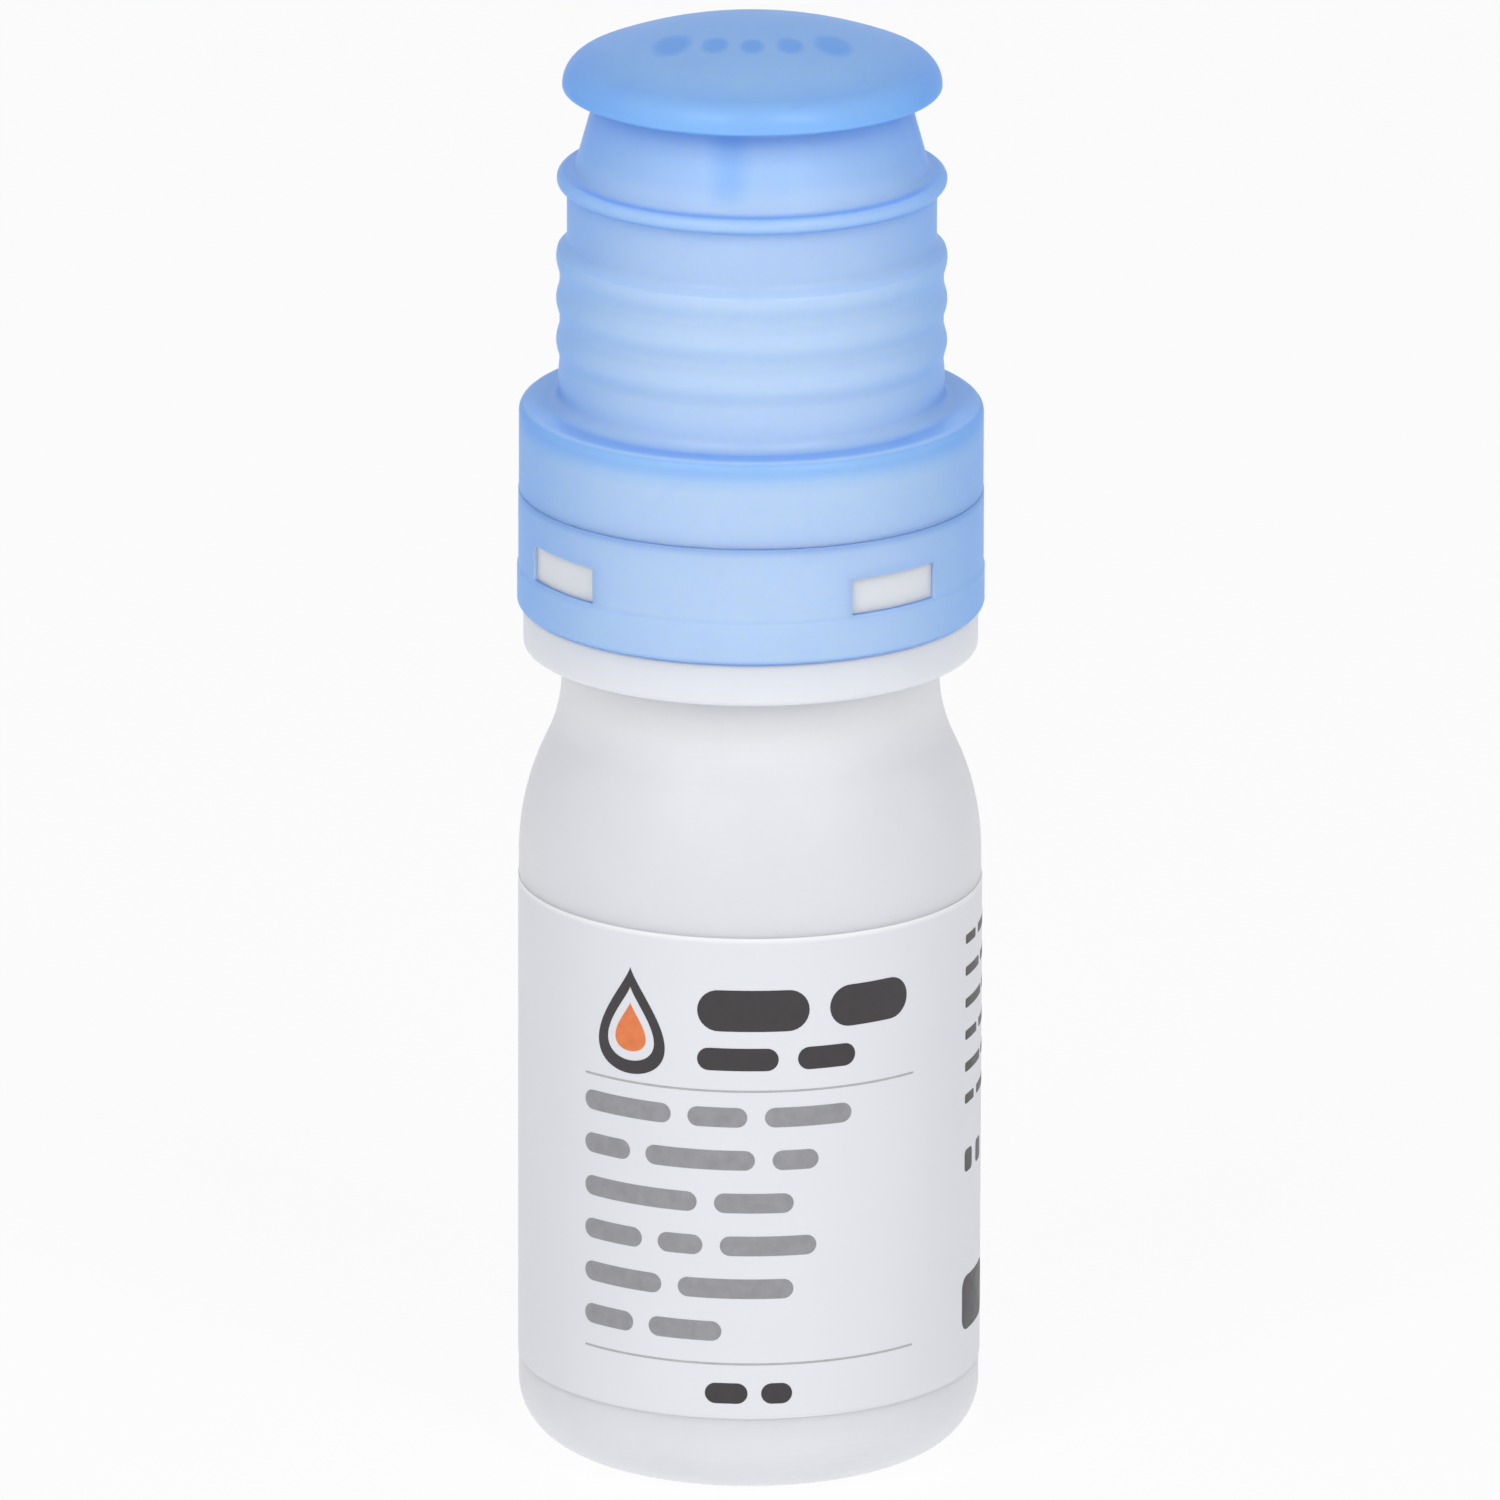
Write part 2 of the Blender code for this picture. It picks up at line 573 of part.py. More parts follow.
def make_applicator(material):
    """Finger collar, housing and piston stem. It slides down over the neck as one piece."""
    bead_radius = SKIRT_BORE - SNAP_BEAD_DEPTH
    bead_z = SNAP_BEAD_TOP - SNAP_BEAD_HEIGHT
    housing_bore = HOUSING_RADIUS - HOUSING_WALL
    outline = [
        (SOCKET_RADIUS, NOSE_TOP),
        (NOSE_RADIUS, NOSE_TOP),
        (HOUSING_RADIUS - HOUSING_ROUND, HOUSING_TOP + HOUSING_ROUND),
        (HOUSING_RADIUS, HOUSING_TOP),
        (HOUSING_RADIUS, ROOF_TOP),
        (SKIRT_RADIUS - ROOF_ROUND, ROOF_TOP),
        (SKIRT_RADIUS, ROOF_TOP - ROOF_ROUND),
        (SKIRT_RADIUS, BELL_TOP),
        (BELL_RADIUS - BELL_ROUND / 2, BELL_TOP),
        (BELL_RADIUS, BELL_TOP - BELL_ROUND / 2),
    ]
    outline += arc(
        (BELL_RADIUS - BELL_ROUND, BELL_Z + BELL_ROUND), BELL_ROUND, 0.0, -math.pi / 2, 3)
    outline += [
        (BELL_BORE, BELL_Z),
        (BELL_BORE, bead_z - SNAP_LEAD_HEIGHT),
        (bead_radius, bead_z),
        (bead_radius, SNAP_BEAD_TOP),
        (SKIRT_BORE, SNAP_BEAD_TOP),
        (SKIRT_BORE, SKIRT_CEILING),
        (housing_bore, SKIRT_CEILING),
        (housing_bore, SPRING_CEILING),
        (STEM_RADIUS, SPRING_CEILING),
        (STEM_RADIUS, STEM_Z),
        (STEM_BORE_RADIUS, STEM_Z),
        (STEM_BORE_RADIUS, CHAMBER_FLOOR),
        (CHAMBER_RADIUS, CHAMBER_FLOOR),
        (CHAMBER_RADIUS, SOCKET_FLOOR),
        (SOCKET_RADIUS, SOCKET_FLOOR),
    ]
    applicator = turned("applicator", outline, material, OUTSIDE_STEPS)
    lug_bottom = RING_Z + WINDOW_RISE + LUG_ROOM
    lug_top = RING_Z + WINDOW_RISE + WINDOW_HEIGHT - LUG_ROOM
    lug_angle = WINDOW_ANGLE - 2 * LUG_ROOM / SKIRT_RADIUS
    for number, angle in enumerate(window_angles()):
        lug = sector(
            "lug_%d" % number, SKIRT_RADIUS - SKIRT_WALL / 2, SKIRT_RADIUS + LUG_DEPTH,
            lug_bottom, lug_top, angle, lug_angle, material)
        combine(applicator, lug, "UNION")
    return applicator


def window_angles():
    """Middles of the four windows, two and two across from each other."""
    return [
        FIRST_WINDOW_ANGLE, NEXT_WINDOW_ANGLE,
        FIRST_WINDOW_ANGLE + math.pi, NEXT_WINDOW_ANGLE + math.pi,
    ]


def make_piston(material):
    """Soft cup pushed over the stem's end, with a lip that wipes the pump's bore."""
    lip_radius = PUMP_BORE_RADIUS - PRESS_GAP
    body_radius = lip_radius - PISTON_LIP_DEPTH
    sleeve_bore = STEM_RADIUS + PRESS_GAP
    top = PISTON_Z + PISTON_FLOOR + PISTON_SLEEVE
    outline = [
        (sleeve_bore, top),
        (body_radius, top),
        (body_radius, PISTON_Z + PISTON_LIP_HEIGHT + PISTON_LIP_DEPTH),
        (lip_radius, PISTON_Z + PISTON_LIP_HEIGHT),
        (lip_radius, PISTON_Z),
        (STEM_BORE_RADIUS, PISTON_Z),
        (STEM_BORE_RADIUS, PISTON_Z + PISTON_FLOOR),
        (sleeve_bore, PISTON_Z + PISTON_FLOOR),
    ]
    return turned("piston", outline, material, INSIDE_STEPS, PISTON_Z)


def make_dropper_tip(material):
    """Nozzle that the drop leaves from, plugged into the applicator's nose."""
    plug_radius = SOCKET_RADIUS - PRESS_GAP
    end_centre = (TIP_END_RADIUS - TIP_END_ROUND, TIP_TOP - TIP_END_ROUND)
    seat_z = TIP_SEAT_TOP - (TIP_BORE_RADIUS - ORIFICE_RADIUS)
    outline = [(ORIFICE_RADIUS, TIP_TOP)]
    outline += arc(end_centre, TIP_END_ROUND, math.pi / 2, 0.0, 3)
    outline += [
        (TIP_ROOT_RADIUS, TIP_ROOT_Z),
        (TIP_FLANGE_RADIUS, TIP_ROOT_Z),
        (TIP_FLANGE_RADIUS, TIP_FLANGE_Z),
        (plug_radius, TIP_FLANGE_Z),
        (plug_radius, TIP_PLUG_Z),
        (TIP_BORE_RADIUS, TIP_PLUG_Z),
        (TIP_BORE_RADIUS, seat_z),
        (ORIFICE_RADIUS, TIP_SEAT_TOP),
    ]
    return turned("dropper_tip", outline, material)


def make_valve_pin(material):
    """Needle that fills the orifice until the pump's pressure pushes it back."""
    cone_top = TIP_SEAT_TOP + ORIFICE_RADIUS - PIN_NEEDLE_RADIUS - SEAT_GAP * math.sqrt(2)
    cone_z = cone_top - (PIN_ROD_RADIUS - PIN_NEEDLE_RADIUS)
    needle_top = TIP_TOP - SEAT_GAP
    tail_z = PIN_HEAD_Z - PIN_TAIL_LENGTH
    outline = [
        (0.0, needle_top),
        (PIN_NEEDLE_RADIUS, needle_top),
        (PIN_NEEDLE_RADIUS, cone_top),
        (PIN_ROD_RADIUS, cone_z),
        (PIN_ROD_RADIUS, PIN_HEAD_Z + PIN_HEAD_HEIGHT),
        (PIN_HEAD_RADIUS, PIN_HEAD_Z + PIN_HEAD_HEIGHT),
        (PIN_HEAD_RADIUS, PIN_HEAD_Z),
        (PIN_TAIL_RADIUS, PIN_HEAD_Z),
        (PIN_TAIL_RADIUS, tail_z),
        (0.0, tail_z),
    ]
    return turned("valve_pin", outline, material, INSIDE_STEPS, PIN_HEAD_Z)


def make_tamper_ring(material):
    """Ring under the cap, held on the applicator by lugs that reach into its windows."""
    foot_radius = RING_RADIUS + RING_FOOT_BULGE
    foot_top = RING_Z + RING_FOOT_HEIGHT
    outline = [
        (RING_BORE, RING_TOP),
        (RING_RADIUS - RING_ROUND, RING_TOP),
        (RING_RADIUS, RING_TOP - RING_ROUND),
        (RING_RADIUS, foot_top),
        (foot_radius, foot_top - RING_ROUND),
    ]
    outline += arc(
        (foot_radius - RING_ROUND, RING_Z + RING_ROUND), RING_ROUND, 0.0, -math.pi / 2, 3)
    outline += [(RING_BORE, RING_Z)]
    ring = turned("tamper_ring", outline, material, OUTSIDE_STEPS)
    for number, angle in enumerate(window_angles()):
        window = sector(
            "window_%d" % number, RING_BORE - CUT_OVERRUN, RING_RADIUS + CUT_OVERRUN,
            RING_Z + WINDOW_RISE, RING_Z + WINDOW_RISE + WINDOW_HEIGHT,
            angle, WINDOW_ANGLE, material)
        combine(ring, window, "DIFFERENCE")
    return ring


def grip_outline():
    """Grip beads down the cap's side, each one a low arc on the plain side."""
    half = GRIP_BEAD_HEIGHT / 2
    radius = (half ** 2 + GRIP_BEAD_DEPTH ** 2) / (2 * GRIP_BEAD_DEPTH)
    reach = math.asin(half / radius)
    points = []
    for number in reversed(range(GRIP_BEADS)):
        centre = (
            CAP_RADIUS + GRIP_BEAD_DEPTH - radius, GRIP_Z + number * GRIP_BEAD_PITCH)
        points += arc(centre, radius, reach, -reach, 3)
    return points


def mushroom_outline():
    """Low dome that runs into a rounded shoulder, and the thin edge that a nail lifts."""
    shoulder_radius = MUSHROOM_RADIUS - MUSHROOM_SHOULDER_ROUND
    between = MUSHROOM_DOME_ROUND - MUSHROOM_SHOULDER_ROUND
    dome_angle = math.asin(shoulder_radius / between)
    dome_centre = MUSHROOM_RIM_Z - between * math.cos(dome_angle)
    start = math.pi / 2 - dome_angle
    dome = arc((0.0, dome_centre), MUSHROOM_DOME_ROUND, math.pi / 2, start, 4)
    dome[0] = (0.0, dome_centre + MUSHROOM_DOME_ROUND)
    shoulder_arc = arc(
        (shoulder_radius, MUSHROOM_RIM_Z), MUSHROOM_SHOULDER_ROUND, start, 0.0, 4)
    edge = arc(
        (MUSHROOM_RADIUS - MUSHROOM_EDGE_ROUND, MUSHROOM_RIM_Z), MUSHROOM_EDGE_ROUND,
        0.0, -math.pi / 2, 2)
    return dome + shoulder_arc[1:] + edge[1:]


def make_cap(material):
    """Pull-off cap: mushroom top, grip beads and a wide flange over the applicator."""
    ridge_round = RIDGE_HEIGHT / 2
    ridge_radius = CAP_RADIUS - BAND_DEPTH + RIDGE_DEPTH
    throat_bore_foot = THROAT_FOOT_RADIUS - THROAT_WALL
    throat_bore_top = THROAT_TOP_RADIUS - THROAT_WALL
    hold_bead_radius = CAP_BORE - CAP_HOLD_BEAD_DEPTH
    outline = mushroom_outline()
    outline += [
        (THROAT_TOP_RADIUS, THROAT_TOP),
        (THROAT_FOOT_RADIUS, RIDGE_TOP),
    ]
    outline += arc(
        (ridge_radius - ridge_round, BAND_TOP + ridge_round), ridge_round,
        math.radians(75), math.radians(-60), 5)
    outline += [
        (CAP_RADIUS - BAND_DEPTH, BAND_TOP),
        (CAP_RADIUS - BAND_DEPTH, GRIP_TOP + BAND_DEPTH),
    ]
    outline += grip_outline()
    outline += [(CAP_RADIUS, CAP_FLANGE_TOP)]
    outline += arc(
        (CAP_FLANGE_RADIUS - CAP_FLANGE_ROUND, CAP_FLANGE_TOP - CAP_FLANGE_ROUND),
        CAP_FLANGE_ROUND, math.pi / 2, 0.0, 3)
    outline += [
        (CAP_FLANGE_RADIUS, CAP_FLANGE_Z),
        (RING_BORE, CAP_FLANGE_Z),
        (RING_BORE, CAP_CEILING),
        (hold_bead_radius, CAP_CEILING),
        (hold_bead_radius, CAP_CEILING + CAP_HOLD_BEAD_HEIGHT),
        (CAP_BORE, CAP_CEILING + CAP_HOLD_BEAD_HEIGHT + CAP_HOLD_BEAD_DEPTH),
        (CAP_BORE, BAND_TOP),
        (throat_bore_foot, RIDGE_TOP),
        (throat_bore_top, THROAT_TOP),
        (CAP_SEAL_RADIUS + PRESS_GAP + CAP_BOSS_WALL, THROAT_TOP),
        (CAP_SEAL_RADIUS + PRESS_GAP + CAP_BOSS_WALL, THROAT_TOP - CAP_BOSS_HEIGHT),
        (CAP_SEAL_RADIUS + PRESS_GAP, THROAT_TOP - CAP_BOSS_HEIGHT),
        (CAP_SEAL_RADIUS + PRESS_GAP, THROAT_TOP),
        (0.0, THROAT_TOP),
    ]
    cap = turned("cap", outline, material, OUTSIDE_STEPS)
    for number in range(CAP_RIBS):
        rib = block(
            "rib_%d" % number,
            (CAP_SEAL_RADIUS + CAP_BOSS_WALL / 2, -CAP_RIB_THICKNESS / 2,
             THROAT_TOP - CAP_RIB_HEIGHT),
            (throat_bore_top + THROAT_WALL * CAP_RIB_REACH_SHARE, CAP_RIB_THICKNESS / 2,
             THROAT_TOP + CAP_ROOF / 2),
            turn_angle(CAP_RIB_ANGLE) + 2 * math.pi * number / CAP_RIBS, material)
        combine(cap, rib, "UNION")
    return cap


def make_cap_seal(material):
    """Soft disc in the cap's boss that presses on the tip."""
    top = THROAT_TOP - SEAT_GAP
    outline = [
        (0.0, top), (CAP_SEAL_RADIUS, top), (CAP_SEAL_RADIUS, CAP_SEAL_Z), (0.0, CAP_SEAL_Z)]
    return turned("cap_seal", outline, material)


def main():
    """Build every piece in its place."""
    clear_scene()
    white = plastic("white_moulding", (0.79, 0.81, 0.86), 0.4)
    natural = plastic("natural_moulding", (0.80, 0.82, 0.83), 0.45)
    blue = plastic("blue_moulding", (0.27, 0.52, 0.90), 0.38)
    rubber = plastic("grey_rubber", (0.35, 0.36, 0.38), 0.7)
    steel = plastic("bright_steel", (0.70, 0.70, 0.70), 0.25, 1.0)
    porous = plastic("porous_white", (0.85, 0.85, 0.82), 0.9)
    film = plastic("label_film", (0.80, 0.81, 0.84), 0.5)
    make_bottle(natural)
    make_label(film)
    make_gasket(rubber)
    make_ferrule(white)
    make_pump_cylinder(natural)
    make_ball_cage(natural)
    make_inlet_ball(steel)
    make_vent_filter(porous)
    make_applicator(white)
    make_piston(natural)
    make_dropper_tip(white)
    make_valve_pin(natural)
    make_tamper_ring(blue)
    make_cap(blue)
    make_cap_seal(rubber)
    coil(
        "return_spring", RETURN_SPRING_RADIUS, RETURN_SPRING_WIRE, FLANGE_TOP + SEAT_GAP,
        SPRING_CEILING - SEAT_GAP, RETURN_SPRING_CURLS, steel)
    coil(
        "tip_spring", TIP_SPRING_RADIUS, TIP_SPRING_WIRE, CHAMBER_FLOOR + SEAT_GAP,
        PIN_HEAD_Z - SEAT_GAP, TIP_SPRING_CURLS, steel)


main()
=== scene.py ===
"""Dresses the eye drop bottle for a studio picture: smooth mouldings, label print and finishes.

Metres, +Z up. The front faces -Y, and places round the bottle are counted from there towards +X.
"""
import math

import bpy
from bpy.props import FloatProperty, FloatVectorProperty, IntProperty, PointerProperty
from mathutils import Matrix, Vector


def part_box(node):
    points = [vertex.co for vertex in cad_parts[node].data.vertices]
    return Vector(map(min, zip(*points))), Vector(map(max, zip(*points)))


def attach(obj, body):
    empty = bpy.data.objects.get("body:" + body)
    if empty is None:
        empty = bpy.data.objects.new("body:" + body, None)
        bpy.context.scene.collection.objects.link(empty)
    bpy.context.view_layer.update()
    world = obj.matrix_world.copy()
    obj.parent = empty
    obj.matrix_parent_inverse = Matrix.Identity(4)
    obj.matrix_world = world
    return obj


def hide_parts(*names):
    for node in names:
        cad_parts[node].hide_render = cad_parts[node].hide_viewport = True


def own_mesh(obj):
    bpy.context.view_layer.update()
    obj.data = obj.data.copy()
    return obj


bl_info = {
    "name": "Eye drop bottle finisher",
    "version": (1, 0, 0),
    "blender": (4, 5, 0),
    "location": "3D View > Sidebar > Eye Drops",
    "description": "Finishes the eye drop bottle's mouldings, label and studio around its solid model",
    "category": "Object",
}

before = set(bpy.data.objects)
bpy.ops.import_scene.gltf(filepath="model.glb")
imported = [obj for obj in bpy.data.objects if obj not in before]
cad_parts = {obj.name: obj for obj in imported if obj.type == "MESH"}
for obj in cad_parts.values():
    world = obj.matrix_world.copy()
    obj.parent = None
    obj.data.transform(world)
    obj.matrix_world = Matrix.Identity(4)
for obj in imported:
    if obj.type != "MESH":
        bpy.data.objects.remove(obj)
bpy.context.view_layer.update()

# Boxes of the solids whose places the finished pieces take
BOTTLE_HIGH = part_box("bottle")[1]
LABEL_LOW, LABEL_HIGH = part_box("label")
RING_LOW, RING_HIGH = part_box("tamper_ring")
HEAD_LOW, HEAD_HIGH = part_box("applicator")
CAP_LOW, CAP_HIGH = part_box("cap")
TIP_LOW, TIP_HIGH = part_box("dropper_tip")
PIN_LOW, PIN_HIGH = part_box("valve_pin")
SEAL_LOW, SEAL_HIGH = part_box("cap_seal")

# Fineness of the meshes
TURN_STEPS = 160
SMALL_TURN_STEPS = 96
ROUND_STEP = math.radians(15)
EDGE_HOLD = 0.00005
MERGE_DISTANCE = 1e-7

# Marks on the dome, the same on both sides: middle to the side and to the back, half sizes
DOME_MARKS = (
    (0.0, -0.0034, 0.0006, 0.0009), (0.0019, -0.0031, 0.0007, 0.001),
    (0.0041, -0.0023, 0.001, 0.0014))

# Widths of the stand-in words, line by line
TITLE_WORDS = (0.0058, 0.0046)
SUBTITLE_WORDS = (0.0042, 0.0031)
FOOT_WORDS = (0.0022, 0.0016)
TEXT_LINES = (
    (0.0052, 0.0031, 0.0046), (0.0029, 0.0058, 0.0024), (0.0066, 0.0041),
    (0.0036, 0.0024, 0.0050), (0.0047, 0.0060), (0.0031, 0.0039))
SIDE_LINES = (
    (0.0016, 0.0030, 0.0022), (0.0024, 0.0019, 0.0030), (0.0031, 0.0012, 0.0021),
    (0.0019, 0.0034, 0.0017), (0.0028, 0.0022), (0.0014, 0.0026, 0.0031))


# Kinds of setting
def length(name, description, default):
    """Length that a user can change, in metres."""
    return FloatProperty(
        name=name, description=description, default=default, precision=5,
        unit="LENGTH", subtype="DISTANCE")


def angle(name, description, degrees):
    """Angle that a user can change."""
    return FloatProperty(
        name=name, description=description, default=math.radians(degrees),
        unit="ROTATION", subtype="ANGLE")


def share(name, description, default):
    """Share from nothing to all."""
    return FloatProperty(
        name=name, description=description, default=default, min=0.0, max=1.0, subtype="FACTOR")


def amount(name, description, default):
    """Plain number."""
    return FloatProperty(name=name, description=description, default=default, precision=4)


def colour(name, description, default):
    """Colour in linear light."""
    return FloatVectorProperty(
        name=name, description=description, default=default, size=3, min=0.0, max=1.0,
        subtype="COLOR")


# Sizes, colours and studio
class BottleSizes(bpy.types.PropertyGroup):
    """Sizes of the blown bottle"""
    body_height: length("Body height", "Top of the straight side", 0.03145)
    shoulder_height: length("Shoulder height", "Rise of the ogee shoulder", 0.0095)
    shoulder_share: share("Outer round share", "Share of the shoulder that bulges outwards", 0.62)
    neck_radius: length("Neck radius", "Radius above the shoulder", 0.0097)
    neck_height: length("Neck height", "Straight neck under the finish", 0.0014)
    finish_radius: length("Finish radius", "Radius that the collar is snapped on", 0.00753)
    finish_bead: length("Finish bead", "How far the snap bead stands out", 0.00045)
    bead_rise: length("Bead rise", "Snap bead above the neck's ledge", 0.0029)
    bead_height: length("Bead height", "Straight part of the snap bead", 0.0008)
    wall: length("Wall", "Thickness of the blown wall", 0.001)
    finish_wall: length("Finish wall", "Thickness of the finish", 0.0012)
    foot_round: length("Foot round", "Rounding between side and base", 0.0031)
    recess_radius: length("Recess radius", "Radius of the recess under the base", 0.0048)
    recess_depth: length("Recess depth", "Depth of the recess under the base", 0.0005)
    edge_round: length("Edge round", "Rounding of the moulded edges", 0.0002)


class LabelSizes(bpy.types.PropertyGroup):
    """Sizes of the label and its print"""
    gap: length("Gap", "Space between bottle and label", 0.000005)
    film: length("Film", "Thickness of the wrapped film", 0.00003)
    ply: length("Front ply", "Thickness of the front ply", 0.00002)
    ply_start: angle("Front ply start", "Where the front ply begins on the left", -53.5)
    ply_end: angle("Front ply end", "Where the front ply ends behind the right side", 168.0)
    ply_inset: length("Ply inset", "Front ply in from the film's edges", 0.00012)
    seam: angle("Seam", "Where the film's ends meet", -96.0)
    seam_gap: length("Seam gap", "Space between the film's ends", 0.0006)
    corner: length("Corner", "Rounding of the ply's corners", 0.0005)
    ink: length("Ink", "Thickness of the printed ink", 0.000012)


class PrintSizes(bpy.types.PropertyGroup):
    """Stand-in print: places round the bottle from its front, heights above the label's foot"""
    title_left: length("Title left", "Left end of the heavy words", -0.0027)
    title_rise: length("Title rise", "Middle of the large heavy words", 0.0219)
    title_height: length("Title height", "Height of the large heavy words", 0.0022)
    title_space: length("Title space", "Space between the large heavy words", 0.0011)
    subtitle_rise: length("Subtitle rise", "Middle of the small heavy words", 0.0193)
    subtitle_height: length("Subtitle height", "Height of the small heavy words", 0.0012)
    subtitle_space: length("Subtitle space", "Space between the small heavy words", 0.001)
    foot_left: length("Foot left", "Left end of the words at the label's foot", -0.00225)
    foot_rise: length("Foot rise", "Middle of the words at the label's foot", 0.00137)
    foot_height: length("Foot height", "Height of the words at the label's foot", 0.0011)
    foot_space: length("Foot space", "Space between the words at the label's foot", 0.0007)
    text_left: length("Text left", "Left end of the lines of text", -0.0093)
    text_rise: length("Text rise", "Middle of the first line of text", 0.0162)
    text_pitch: length("Text pitch", "From line to line", 0.0023)
    text_height: length("Text height", "Height of a line of text", 0.00105)
    text_space: length("Text space", "Space between words", 0.0009)
    rule_width: length("Rule width", "Length of a thin rule", 0.0186)
    rule_height: length("Rule height", "Thickness of a thin rule", 0.00011)
    upper_rule: length("Upper rule", "Height of the rule over the text", 0.0176)
    lower_rule: length("Lower rule", "Height of the rule under the text", 0.00295)
    drop_place: length("Drop place", "Middle of the drop round the bottle", -0.0064)
    drop_rise: length("Drop rise", "Middle of the drop", 0.0209)
    drop_outside: length("Drop outside", "Height of the drop", 0.0046)
    drop_inside: length("Drop inside", "Height of the hollow in the drop", 0.0032)
    drop_shift: share("Drop shift", "How far the hollow sinks as it narrows", 0.12)
    accent_size: length("Accent size", "Height of the accent in the drop", 0.0021)
    accent_shift: length("Accent shift", "Accent under the middle of the drop", 0.00035)
    side_left: length("Side left", "Left end of the side lines", 0.0142)
    side_rise: length("Side rise", "Middle of the first side line", 0.02345)
    side_pitch: length("Side pitch", "From side line to side line", 0.00172)
    side_height: length("Side height", "Height of a side line", 0.0005)
    side_space: length("Side space", "Space between the words of a side line", 0.0006)
    sign_rise: length("Sign rise", "Middle of the two small signs", 0.0115)
    sign_width: length("Sign width", "Width of a small sign", 0.0011)
    sign_height: length("Sign height", "Height of a small sign", 0.0012)
    sign_space: length("Sign space", "Space between the small signs", 0.0008)
    block_place: length("Block place", "Middle of the dark block round the bottle", 0.0161)
    block_rise: length("Block rise", "Middle of the dark block", 0.0038)
    block_width: length("Block width", "Width of the dark block", 0.0043)
    block_height: length("Block height", "Height of the dark block", 0.0029)


class HeadSizes(bpy.types.PropertyGroup):
    """Sizes of the white pump head with its finger collar"""
    bell_height: length("Bell height", "White foot that shows under the ring", 0.00222)
    bell_bore: length("Bell bore", "Opening of the bell over the neck", 0.0102)
    bell_round: length("Bell round", "Rounding of the bell's lower edge", 0.0003)
    skirt_radius: length("Skirt radius", "Outside of the skirt inside the ring", 0.01068)
    skirt_bore: length("Skirt bore", "Inside of the skirt", 0.00953)
    snap_depth: length("Snap depth", "How far the snap bead reaches in", 0.0004)
    snap_rise: length("Snap rise", "Top of the snap bead above the bell's foot", 0.0037)
    snap_height: length("Snap height", "Straight part of the snap bead", 0.0007)
    snap_lead: length("Snap lead", "Slope under the snap bead", 0.00095)
    ceiling_rise: length("Ceiling rise", "Inside of the roof above the bell's foot", 0.0109)
    roof: length("Roof", "Thickness of the roof", 0.00065)
    housing_radius: length("Housing radius", "Radius of the upright housing", 0.0083)
    housing_wall: length("Housing wall", "Thickness of the housing", 0.001)
    housing_height: length("Housing height", "Straight housing above the roof", 0.0074)
    housing_round: length("Housing round", "Rounding on top of the housing", 0.0007)
    nose_radius: length("Nose radius", "Top of the cone under the tip", 0.0033)
    socket_radius: length("Socket radius", "Socket that holds the tip", 0.00255)
    chamber_radius: length("Chamber radius", "Valve chamber", 0.0019)
    chamber_drop: length("Chamber drop", "Chamber's floor under the housing's top", 0.0006)
    chamber_height: length("Chamber height", "Height of the valve chamber", 0.0031)
    spring_drop: length("Spring drop", "Spring's ceiling under the housing's top", 0.002)
    stem_radius: length("Stem radius", "Piston stem", 0.0015)
    stem_bore: length("Stem bore", "Channel in the stem", 0.0006)
    stem_rise: length("Stem rise", "Stem's lower end above the bell's foot", 0.00449)
    edge_round: length("Edge round", "Rounding of the moulded edges", 0.00018)
    lug_setback: length("Lug setback", "How far a window lug stays behind the ring's face", 0.0002)
    lug_room: length("Lug room", "Space between lug and window", 0.00002)


class RingSizes(bpy.types.PropertyGroup):
    """Sizes of the tamper ring"""
    bore: length("Bore", "Inside of the ring", 0.01088)
    radius: length("Radius", "Outside of the ring", 0.01193)
    foot_bulge: length("Foot bulge", "How far the thick foot stands out", 0.00006)
    foot_height: length("Foot height", "Height of the thick foot", 0.0022)
    edge_round: length("Edge round", "Rounding of the ring's edges", 0.0003)
    seam_round: length("Seam round", "Rounding beside the seam under the cap", 0.00005)
    seam: length("Seam", "Seam that shows between ring and cap", 0.00001)
    window_rise: length("Window rise", "Window above the ring's foot", 0.00235)
    window_height: length("Window height", "Height of a window", 0.0019)
    window_angle: angle("Window angle", "Width of a window round the ring", 26.0)
    first_window: angle("First window", "Middle of the window on the right", 38.7)
    next_window: angle("Next window", "Middle of the window on the left", -55.5)
    corner_share: share("Corner share", "Rounding of the window's corners", 0.06)


